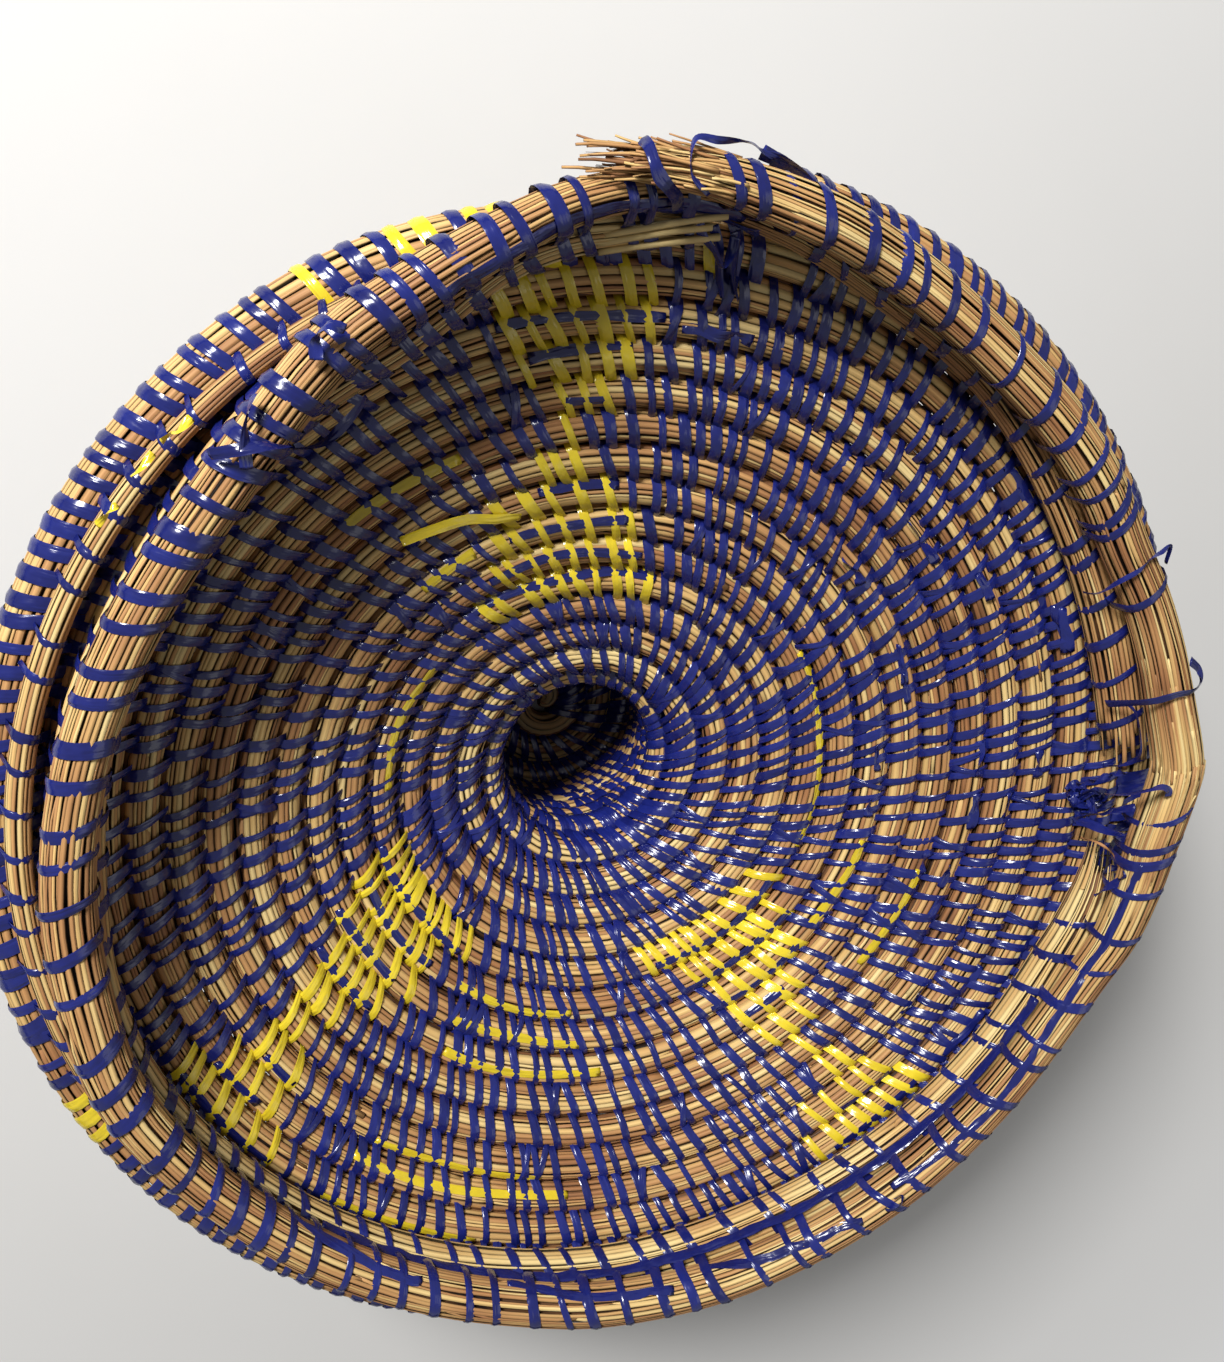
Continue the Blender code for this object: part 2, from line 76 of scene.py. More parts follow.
@dataclass
class Skin:
    """Points and four-sided faces, with named numbers kept at each point.

    Args:
        points: One row of x, y, z for each point.
        faces: One row of four point numbers for each face, turning outwards.
        marks: Named numbers, one for each point, for the material to read.
    """

    points: Array
    faces: NDArray[np.int64]
    marks: dict[str, Array]

    @staticmethod
    def joined(skins: list["Skin"]) -> "Skin":
        """Several skins as one, with the marks that all of them have."""
        offsets = np.cumsum([0] + [len(skin.points) for skin in skins[:-1]])
        names = set.intersection(*(set(skin.marks) for skin in skins))
        return Skin(
            np.concatenate([skin.points for skin in skins]),
            np.concatenate([skin.faces + offset for skin, offset in zip(skins, offsets)]),
            {name: np.concatenate([skin.marks[name] for skin in skins]) for name in sorted(names)},
        )

    @staticmethod
    def tubes(points: Array, closed: bool, **marks: Array | float) -> "Skin":
        """Tubes as one skin.

        Args:
            points: Tubes by rings by sides by x, y, z.
            closed: True joins each tube's last ring to its first. Otherwise both ends get flat caps.
            marks: Named numbers, in any shape that spreads over tubes by rings by sides.

        Returns:
            The skin.
        """
        shape = points.shape[:3]
        spread = {name: np.broadcast_to(values, shape).ravel() for name, values in marks.items()}
        return Skin(points.reshape(-1, 3), lattice(*shape, closed=closed), spread)

    def piece(self, name: str, slot: Slot, finishes: Finishes, *nodes: str) -> bpy.types.Object:
        """The skin as a piece of the model.

        Args:
            name: The piece's name.
            slot: The record's slot that it takes its finish from.
            finishes: The material of each slot.
            nodes: CAD nodes that it stands for.

        Returns:
            The mesh object, riding on the basket's one body.
        """
        mesh = bpy.data.meshes.new(name)
        count = len(self.faces)
        mesh.vertices.add(len(self.points))
        mesh.vertices.foreach_set("co", self.points.astype(np.float32).ravel())
        mesh.loops.add(4 * count)
        mesh.loops.foreach_set("vertex_index", self.faces.astype(np.int32).ravel())
        mesh.polygons.add(count)
        mesh.polygons.foreach_set("loop_start", np.arange(0, 4 * count, 4, dtype=np.int32))
        mesh.update(calc_edges=True)
        for mark, values in self.marks.items():
            layer = mesh.attributes.new(mark, "FLOAT", "POINT")
            layer.data.foreach_set("value", values.astype(np.float32).ravel())
        mesh.shade_smooth()
        if "flank" in self.marks:
            self.sharpen(mesh)
        mesh.materials.append(finishes[slot])
        made = bpy.data.objects.new(name, mesh)
        bpy.context.scene.collection.objects.link(made)
        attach(made, "root")
        if nodes:
            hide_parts(*nodes)
        stands_for = ", ".join(nodes) or "no node"
        log.info("%s: %d points, %d faces, stands for %s", name, len(self.points), count, stands_for)
        return made

    def sharpen(self, mesh: bpy.types.Mesh) -> None:
        """Makes a strip's flanks sharp: the edges whose two ends both lie on a flank."""
        ends = np.empty(2 * len(mesh.edges), dtype=np.int32)
        mesh.edges.foreach_get("vertices", ends)
        sharp = (self.marks["flank"] > 0.5)[ends].reshape(-1, 2).all(1)
        mesh.attributes.new("sharp_edge", "BOOLEAN", "EDGE").data.foreach_set("value", sharp)

    def worn(self, depth: float) -> "Skin":
        """The skin worn flat from below: heights under the depth fade towards the floor as an exponential."""
        points = self.points.copy()
        height = points[:, 2]
        points[:, 2] = np.where(height < depth, depth * np.exp(np.minimum(height - depth, 0) / depth), height)
        return replace(self, points=points)


def along(places: Array, knots: Array, values: Array) -> Array:
    """Values with one or more columns, interpolated at places of any shape."""
    if values.ndim == 1:
        return np.interp(places, knots, values)
    return np.stack([np.interp(places, knots, values[:, i]) for i in range(values.shape[1])], -1)


def unit(vectors: Array) -> Array:
    """Vectors at length one."""
    return vectors / np.maximum(np.linalg.norm(vectors, axis=-1, keepdims=True), 1e-12)


def dot(a: Array, b: Array) -> Array:
    """Dot product over the last axis, which is kept."""
    return (a * b).sum(-1, keepdims=True)


def around(first: Array, second: Array, angle: Array) -> Array:
    """Directions at angles from a first direction towards a second one: cosine and sine times the two."""
    return np.cos(angle)[..., None] * first + np.sin(angle)[..., None] * second


def polar(radius: Array | float, angle: Array, height: Array | float) -> Array:
    """Points from distances to the basket's axis, angles round it and heights."""
    return np.stack([radius * np.cos(angle), radius * np.sin(angle), height + 0 * angle], -1)


def outward(angle: Array) -> Array:
    """Level unit directions away from the basket's axis, at angles round it."""
    return polar(1.0, angle, 0.0)


def off_axis(points: Array) -> Array:
    """Level distances from the basket's axis."""
    return np.hypot(points[..., 0], points[..., 1])


def cubic(t: Array, first: Array, last: Array, early: Array, late: Array) -> Array:
    """Values at shares of the way from a first to a last one, on the cubic with the given slopes at its ends."""
    return (
        (2 * t**3 - 3 * t**2 + 1) * first + (3 * t**2 - 2 * t**3) * last
        + (t**3 - 2 * t**2 + t) * early + (t**3 - t**2) * late
    )


def eased(share: Array) -> Array:
    """Shares from 0 to 1 that start and end gently: three times the square less twice the cube."""
    return share**2 * (3 - 2 * share)


def jittered(count: int, scatter: float, rng: Rng) -> Array:
    """Places at the middles of so many equal steps, each scattered by a share of a step."""
    return np.arange(count) + 0.5 + rng.normal(0, scatter, count)


def lattice(copies: int, rings: int, sides: int, closed: bool) -> NDArray[np.int64]:
    """Faces of several tubes whose points run tube by tube, ring by ring.

    Args:
        copies: How many tubes.
        rings: Rings of each tube.
        sides: Points of each ring, an even number.
        closed: True joins the last ring to the first. Otherwise both ends get flat caps, as fans of four-sided faces.

    Returns:
        Point numbers of the four-sided faces.
    """
    ring = np.arange(rings if closed else rings - 1)[:, None]
    side = np.arange(sides)[None, :]
    after, beside = (ring + 1) % rings, (side + 1) % sides
    walls = np.stack([ring * sides + side, ring * sides + beside, after * sides + beside, after * sides + side], -1)
    faces = walls.reshape(-1, 4)
    if not closed:
        corner = np.arange(1, sides - 1, 2)
        cap = np.stack([corner + 2, corner + 1, corner, 0 * corner], -1)
        faces = np.concatenate([faces, cap, cap[:, ::-1] + (rings - 1) * sides])
    offsets = (np.arange(copies) * rings * sides)[:, None, None]
    return (faces[None, :, ::-1] + offsets).reshape(-1, 4)


# Middle lines


@dataclass
class Path:
    """A bundle's middle line, with two directions across it and its radius.

    Args:
        middle: Points of the line.
        face: Unit directions across it, to the side seen from the mouth or from above.
        out: Unit directions across it, away from the basket's axis.
        radius: The bundle's radius at each point.
        finest: The longest step between two rings of a stem.
        bend_share: The longest step as a share of the bend's radius.
    """

    middle: Array
    face: Array
    out: Array
    radius: Array
    finest: float = 8.0 * MM
    bend_share: float = 0.2
    travelled: Array = field(init=False)
    rings: Array = field(init=False)

    def __post_init__(self) -> None:
        """Measures the line. Rings lie closer where it bends: a step is at most a fifth of the bend's radius."""
        steps = np.linalg.norm(np.diff(self.middle, axis=0), axis=1)
        heading = unit(np.diff(self.middle, axis=0))
        bend = np.arccos(np.clip((heading[1:] * heading[:-1]).sum(1), -1, 1)) / np.maximum(steps[1:], 1e-9)
        size = np.minimum(self.finest, self.bend_share / np.maximum(blurred(np.append(bend, bend[-1])), 1e-6))
        self.travelled = np.concatenate([[0.0], np.cumsum(steps)])
        self.rings = np.concatenate([[0.0], np.cumsum(steps / size)])

    def at(self, rings: Array) -> tuple[Array, Array, Array, Array, Array]:
        """Middle, face and out directions, radius and distance at counts of rings of any shape."""
        return (
            along(rings, self.rings, self.middle),
            unit(along(rings, self.rings, self.face)),
            unit(along(rings, self.rings, self.out)),
            along(rings, self.rings, self.radius),
            along(rings, self.rings, self.travelled),
        )

    def after(self, distance: Array) -> tuple[Array, Array, Array, Array, Array]:
        """The same at distances from its start."""
        return self.at(np.interp(distance, self.travelled, self.rings))

    @staticmethod
    def level(middle: Array, radius: Array) -> "Path":
        """The line of a bundle on the edge or the ring: its face looks up, its out away from the basket's axis."""
        out = unit(middle * [1.0, 1.0, 0.0])
        return Path(middle, np.broadcast_to(UP, out.shape), out, radius)


def blurred(values: Array) -> Array:
    """Values averaged over nine neighbours, with the ends held."""
    return np.convolve(np.pad(values, 4, mode="edge"), np.ones(9) / 9, "valid")


@dataclass(frozen=True)
class Wall:
    """The wound wall's section and winding, with the CAD model's own sizes."""

    turns: float = 23.0
    coil_gap: float = 0.8 * MM
    start_radius: float = 5.8 * MM
    foot_radius: float = 38.0 * MM
    corner_radius: float = 12.0 * MM
    cut_share: float = 0.1
    stem_length: float = 47.0 * MM
    stem_lean: float = math.radians(8.5)
    lip_radius: float = 14.0 * MM
    slope: float = math.radians(24.5)
    funnel_radius: float = 164.4 * MM
    yellow_row_turn: float = 11.781
    grain: float = 0.2 * MM

    @cached_property
    def section(self) -> tuple[Array, Array, Array, Array]:
        """The wall's section as distance, radius, height over the foot's row and heading.

        The heading rises evenly over each bend and holds on each straight piece. Radius and height
        are the running sums of its cosine and sine.
        """
        up = math.pi / 2 + self.stem_lean
        lip = up - self.slope
        flat = self.foot_radius - self.corner_radius - self.start_radius
        lengths = [flat, self.corner_radius * up, self.stem_length, self.lip_radius * lip, 0.2]
        knots = np.concatenate([[0.0], np.cumsum(lengths)])
        distance = np.arange(0.0, knots[-1], self.grain)
        heading = np.interp(distance, knots, [0.0, 0.0, up, up, self.slope, self.slope])
        middle = (heading[1:] + heading[:-1]) / 2
        radius = self.start_radius + np.concatenate([[0.0], np.cumsum(np.cos(middle))]) * self.grain
        height = np.concatenate([[0.0], np.cumsum(np.sin(middle))]) * self.grain
        past = (radius > self.funnel_radius) & (distance > knots[4])
        last = int(np.argmax(past)) + 1
        return distance[:last], radius[:last], height[:last], heading[:last]

    def rows(self, turns: Array) -> tuple[Array, Array, Array]:
        """Radius, height and heading of the winding after counts of turns."""
        distance, radius, height, heading = self.section
        places = np.asarray(turns) * self.pitch
        base = self.coil_radius * (1 - 2 * self.cut_share)
        return (
            np.interp(places, distance, radius) + np.minimum(places, 0),
            base + np.interp(places, distance, height),
            np.interp(places, distance, heading),
        )

    @property
    def pitch(self) -> float:
        """Distance from row to row along the section, whose end is where it reaches the funnel's radius."""
        distance, radius, _, _ = self.section
        return float(np.interp(self.funnel_radius, radius[-50:], distance[-50:])) / self.turns

    @property
    def coil_radius(self) -> float:
        """Radius of the CAD model's bundle."""
        return (self.pitch - self.coil_gap) / 2

    def angle(self, turns: Array) -> Array:
        """Angle round the axis after counts of turns."""
        return TURN * (np.asarray(turns) - self.yellow_row_turn)

    def frames(self, turns: Array) -> tuple[Array, Array, Array, Array]:
        """Middle points, face, out and forward directions of the winding after counts of turns."""
        radius, height, heading = self.rows(turns)
        level = outward(self.angle(turns))
        middle = radius[..., None] * level + height[..., None] * UP
        return middle, around(UP, -level, heading), around(level, UP, heading), np.cross(UP, level)

    def path(self, start: float, end: float, radius: float) -> Path:
        """The winding between two counts of turns, as the middle line of a bundle."""
        turns = np.linspace(start, end, int((end - start) * 180) + 2)
        middle, face, out, _ = self.frames(turns)
        return Path(middle, face, out, radius * (1 + 0.9 * np.minimum(turns, 0)))


# Grass

STEM_APART = 3.0
# Tone of the core tubes, at the ramp's dark end: painted shade inside the bundles.
CORE_SHADE_TONE = 1.6


@dataclass(frozen=True)
class Stems:
    """Grass stems laid side by side round the outside of a bundle.

    Args:
        slots: Stems side by side.
        rings: Rings of one stem.
        brown: Share of stems that are reddish brown.
        twist: Turn of the stems round the bundle, for each ring.
        unevenness: How far a stem lies in or out.
        loose: Share of stems whose ends stand off the bundle.
        spread: How much the stems differ in width.
        ragged: How many rings short of the bundle's start and end a stem may stop.
        taper: A stem's size at the bundle's end, as a share.
        bleach: How much paler the bundle's start is, fading over a hand's width.
        groove: Painted shade: how much darker the stems are where a row meets its neighbours.
    """

    slots: int = 16
    rings: int = 56
    brown: float = 0.4
    twist: float = 0.004
    unevenness: float = 0.16 * MM
    loose: float = 0.05
    spread: float = 0.6
    ragged: tuple[float, float] = (0.0, 0.0)
    taper: float = 1.0
    bleach: float = 0.0
    groove: float = 0.0

    SECTION = np.radians([-88.0, -46.0, 0.0, 46.0, 88.0, 180.0])
    OVERLAP = 0.6
    SHORTEST = 2.0
    THICKNESS = (0.3 * MM, 0.85 * MM)
    THINNING = 6
    ASTRAY_LIFT = 0.5 * MM
    TUCK_LIFT = -0.9 * MM

    def skin(self, path: Path, rng: Rng) -> Skin:
        """Every stem of a bundle.

        Each stem is an oval tube. Its middle lies at an angle round the bundle, at the bundle's
        radius less its own half thickness, and its ends tuck in under its neighbours.

        Args:
            path: The bundle's middle line.
            rng: The random numbers that it draws from.

        Returns:
            The stems, with marks tone, which also holds painted shade in the grooves, edge, which is painted shade
            on the flanks and inner side, across and along.
        """
        total = path.rings[-1]
        shares = rng.uniform(1 - self.spread, 1 + self.spread, self.slots)
        shares *= TURN / shares.sum()
        centres = np.cumsum(shares) - shares / 2
        rows = int(total / self.rings) + 2
        starts = (np.arange(rows)[None, :] - rng.uniform(0, 1, (self.slots, 1))) * self.rings
        starts = starts + rng.uniform(-0.2, 0.2, starts.shape) * self.rings
        ends = np.append(starts[:, 1:], starts[:, -1:] + self.rings, axis=1) + self.OVERLAP
        slot = np.repeat(np.arange(self.slots), rows)
        first = rng.uniform(0, 1, starts.size) * self.ragged[0]
        last = total - rng.uniform(0, 1, starts.size) * self.ragged[1]
        starts, ends = np.maximum(starts.ravel(), first), np.minimum(ends.ravel(), last)
        kept = ends - starts > self.SHORTEST
        slot, starts, ends = slot[kept], starts[kept], ends[kept]
        from_start, to_end = starts <= self.ragged[0], ends >= total - self.ragged[1] - 1e-6
        count = len(slot)

        share = np.linspace(0, 1, self.rings + 1)
        place = starts[:, None] + (ends - starts)[:, None] * share[None, :]
        middle, face, out, radius, distance = path.at(place)
        half = (shares[slot] * rng.uniform(0.86, 1.08, count) / 2)[:, None] * radius
        thick = np.clip(half * rng.uniform(0.55, 0.8, count)[:, None], *self.THICKNESS)
        sway = rng.uniform(0, TURN, (3, count, 1))
        wander = 0.05 * np.sin(place * 0.21 + sway[0]) + 0.03 * np.sin(place * 0.53 + sway[1])
        angle = centres[slot][:, None] + self.twist * place + wander
        lift = rng.normal(0, self.unevenness, count)[:, None] + 0.08 * MM * np.sin(place * 0.37 + sway[2])
        tip = np.minimum(share, 1 - share)[None, :] * self.rings
        early = share[None, :] < 0.5
        inside = ~from_start[:, None] & early | ~to_end[:, None] & ~early
        thinning = np.clip(1 - (1 - share)[None, :] * self.rings / self.THINNING, 0, 1)
        slim = 1 - (1 - self.taper) * np.where(to_end[:, None], thinning, 0)
        half, thick = half * slim, thick * slim
        tuck = np.where(inside, np.clip(1 - tip, 0, 1), 0.0)
        astray = rng.uniform(0, 1, count)[:, None] < self.loose
        lift = lift + np.where(astray, self.ASTRAY_LIFT, self.TUCK_LIFT) * tuck
        spoke, round_ = around(out, face, angle), around(face, out, -angle)
        axis = middle + (radius - thick + lift)[..., None] * spoke

        wide, deep = np.sin(self.SECTION), np.cos(self.SECTION)
        points = (
            axis[:, :, None, :]
            + (half[..., None] * wide)[..., None] * round_[:, :, None, :]
            + (thick[..., None] * deep)[..., None] * spoke[:, :, None, :]
        )
        brown = rng.uniform(0, 1, count) < self.brown
        tone = np.where(brown, rng.uniform(0.55, 1.0, count), rng.uniform(0.0, 0.5, count))
        # Painted shade: the groove term darkens the stems where a row meets its neighbours. The bleach term is the
        # paler cut start.
        shade = tone[:, None] + self.groove * np.cos(angle) ** 6 - self.bleach * np.exp(-distance / 0.06)
        # The edge mark is painted shade: full on each stem's inner side and growing towards its flanks.
        return Skin.tubes(
            points, False,
            tone=shade[..., None], edge=np.where(deep < -0.5, 1.0, wide**4),
            across=wide + slot[:, None, None] * STEM_APART, along=distance[..., None],
        )


def shade_core(path: Path, share: float, first: float = 0.0, last: float = 0.0) -> Skin:
    """A dark tube inside a bundle, as painted shade for the hollows between its stems.

    It is a plain tube at a share of the bundle's radius, closed at both ends.

    Args:
        path: The bundle's middle line.
        share: The tube's radius as a share of the bundle's.
        first: Rings that it leaves out at the start.
        last: Rings that it leaves out at the end.

    Returns:
        The tube, with the stems' marks.
    """
    sides = 8
    count = max(3, int(path.rings[-1]))
    middle, face, out, radius, distance = path.at(np.linspace(first, path.rings[-1] - last, count))
    ring = around(out[:, None], face[:, None], np.arange(sides)[None] / sides * TURN)
    points = middle[:, None] + (radius * share)[:, None, None] * ring
    return Skin.tubes(
        points[None], False, tone=CORE_SHADE_TONE, edge=0.0, across=np.linspace(-1, 1, sides), along=distance[:, None]
    )


def straws(lines: Array, thick: Array, tone: Array) -> Skin:
    """Single stems along lines of points.

    Each is a six-sided tube: at every point of its line, six points on a circle square to it.

    Args:
        lines: Stems by places by x, y, z.
        thick: Radius of each stem at each place.
        tone: One number for each stem, for its shade.

    Returns:
        The stems, with the marks of a bundle's stems.
    """
    ahead = unit(np.gradient(lines, axis=1))
    side = unit(np.cross(ahead, [0.3, -0.2, 1.0]))
    angle = np.arange(6) / 6 * TURN
    spoke = around(side[:, :, None], np.cross(side, ahead)[:, :, None], angle)
    sideways = np.sin(angle)
    # The edge mark paints shade on one side of each straw.
    return Skin.tubes(
        lines[:, :, None] + thick[..., None, None] * spoke, False,
        tone=tone[:, None, None], edge=0.5 - 0.5 * sideways,
        across=sideways + STEM_APART * np.arange(len(lines))[:, None, None],
        along=np.linspace(0, 0.02, lines.shape[1])[:, None],
    )


# Strip

CROWN = 0.34 * MM
UNDERSIDE = 0.18 * MM


@dataclass
class Loops:
    """Stitches: loops of flat strip round a bundle, each of which bites into what carries the bundle.

    Args:
        middle: The bundle's middle at each stitch.
        side: Unit direction across the bundle, to its outer side or to any side square to the bite.
        bite: Unit direction across the bundle, towards what carries it.
        forward: Unit direction along the bundle.
        radius: The loop's radius at each stitch.
        depth: How much further it reaches on the side of the bite.
        slant: Its lean along the bundle, as a share of the way from the bite.
        skew: Its lean as a share of the way sideways.
        width: The strip's width.
        steps: Points of one loop.
    """

    middle: Array
    side: Array
    bite: Array
    forward: Array
    radius: Array
    depth: Array
    slant: float = 0.3
    skew: float = 0.0
    width: float | Array = 2.9 * MM
    steps: int = 14

    def skin(self, rng: Rng) -> Skin:
        """Every stitch as a closed ribbon.

        At an angle from the bite's direction, the loop's radius is its own radius plus the depth
        times the fourth power of the angle's cosine, on the side of the bite alone. It leans along
        the bundle by its slant times the way from the bite, and by its skew times the way sideways.

        Args:
            rng: The random numbers that it draws from.

        Returns:
            The ribbons, with a strip's marks.
        """
        count = len(self.middle)
        angle = np.arange(self.steps) / self.steps * TURN
        cos, sin = np.cos(angle), np.sin(angle)
        reach = self.radius[:, None] + self.depth[:, None] * np.clip(cos, 0, 1) ** 4
        lean = self.slant + rng.normal(0, 0.05, count)
        shift = reach * ((self.skew + lean - self.slant)[:, None] * sin - lean[:, None] * cos)
        bow = rng.normal(0, 0.2 * MM, count)[:, None] * np.sin(angle * 2)[None, :]
        spoke = around(self.bite[:, None], self.side[:, None], angle[None])
        points = self.middle[:, None] + reach[..., None] * spoke + (shift + bow)[..., None] * self.forward[:, None]
        ahead = unit(np.roll(points, -1, axis=1) - np.roll(points, 1, axis=1))
        up = unit(spoke - dot(spoke, ahead) * ahead)
        width = (self.width * rng.uniform(0.66, 1.18, count))[:, None]
        width = width * (1 + 0.02 * rng.normal(0, 1, (count, self.steps)))
        tilt = rng.normal(0, 0.07, (count, 1)) * width / 2
        crown = rng.uniform(-0.4, 0.4, (count, 1)) * width / 2
        distance = angle[None, :] * self.radius[:, None]
        return banded(points, ahead, up, width, tilt, crown, rng.uniform(0, 1, count), distance, True)

    def some(self, kept: NDArray[np.bool_], width: float) -> "Loops":
        """The stitches that are kept, in a width."""
        names = ("middle", "side", "bite", "forward", "radius", "depth")
        return replace(self, width=width, **{name: getattr(self, name)[kept] for name in names})


def banded(
    points: Array, ahead: Array, up: Array, width: Array, tilt: Array, crown: Array, tone: Array, distance: Array,
    closed: bool,
) -> Skin:
    """Flat strips along lines of points: two sharp flanks, a low crown between them and a flat underside.

    Args:
        points: The strips' lines, as strips by places by x, y, z.
        ahead: Unit directions along them.
        up: Unit directions that their flat sides face.
        width: Their width at each place.
        tilt: How far one flank is raised and the other lowered.
        crown: How far the crown lies off the middle.
        tone: One number for each strip, for its shade.
        distance: Distance along the strip at each place.
        closed: True joins each strip's end to its start.

    Returns:
        The strips, with marks tone, across, along and flank.
    """
    flank = np.cross(ahead, up)
    half, raised, off = width[..., None] / 2, tilt[..., None], crown[..., None]
    ribbon = np.stack([
        points - flank * half - up * raised,
        points + up * CROWN + flank * off,
        points + flank * half + up * raised,
        points - up * UNDERSIDE,
    ], 2)
    across = np.array([-1.0, 0.0, 1.0, 0.0])
    skin = Skin.tubes(
        ribbon, closed, tone=tone[:, None, None], across=across, along=distance[..., None], flank=abs(across)
    )
    return replace(skin, faces=skin.faces[:, ::-1])


@dataclass
class Ribbon:
    """A length of flat strip along points.

    Args:
        points: Its line.
        up: The direction that its flat side faces, at each point.
        width: Its width.
        twist: Turns about its own line.
        crumple: Scatter of its line.
    """

    points: Array
    up: Array
    width: float = 3.0 * MM
    twist: float = 0.0
    crumple: float = 0.0

    def skin(self, rng: Rng, detail: int = 6) -> Skin:
        """The strip along a Catmull-Rom curve, turned about its own line by its twist and scattered by its crumple.

        Args:
            rng: The random numbers that it draws from.
            detail: Rings from point to point.

        Returns:
            The ribbon, with a strip's marks.
        """
        points = np.asarray(self.points, dtype=float)
        line = smooth_line(points + 1.5 * self.crumple * rng.normal(0, 1, points.shape), detail)
        up = unit(smooth_line(self.up, detail))
        ahead = unit(np.gradient(line, axis=0))
        up = unit(up - dot(up, ahead) * ahead)
        share = np.linspace(0, 1, len(line))[:, None]
        wobble = smooth_line(rng.normal(0, 1.2, (len(points), 1)), detail)
        up = around(up, np.cross(ahead, up), (TURN * self.twist * share + self.crumple / MM * wobble)[:, 0])
        width = self.width * np.clip(1 + smooth_line(rng.normal(0, 0.09, (len(points), 1)), detail).T, 0.6, 1.3)
        zero = np.zeros_like(width)
        distance = np.concatenate([[0.0], np.cumsum(np.linalg.norm(np.diff(line, axis=0), axis=1))])
        return banded(line[None], ahead[None], up[None], width, zero, zero, rng.uniform(0, 1, 1), distance[None], False)


def smooth_line(points: Array, detail: int) -> Array:
    """Points on the Catmull-Rom curve through the given ones, so many for each stretch."""
    points = np.asarray(points, dtype=float)
    before = np.vstack([points[:1] * 2 - points[1:2], points[:-1]])
    after = np.vstack([points[1:], points[-1:] * 2 - points[-2:-1]])
    slope = (after - before) / 2
    t = (np.arange(detail) / detail)[None, :, None]
    curve = cubic(t, points[:-1, None], points[1:, None], slope[:-1, None], slope[1:, None])
    return np.vstack([curve.reshape(-1, points.shape[1]), points[-1:]])


# Sub-assemblies


@dataclass(frozen=True)
class Motif:
    """One hourglass of yellow stitches.

    Args:
        middle: Its middle's angle round the basket on the inmost yellow row, in degrees.
        drift: Change of that angle from row to row.
        counts: Yellow stitches on each row, from the inmost out.
    """

    middle: float
    drift: float
    counts: tuple[int, ...]

    def turns(self, wall: Wall) -> list[tuple[float, int]]:
        """Turns of the winding at the motif's middle on each row, with the row's count."""
        return [
            (wall.yellow_row_turn + row + (self.middle + self.drift * (row - 1)) / 360, count)
            for row, count in enumerate(self.counts, start=1)
        ]


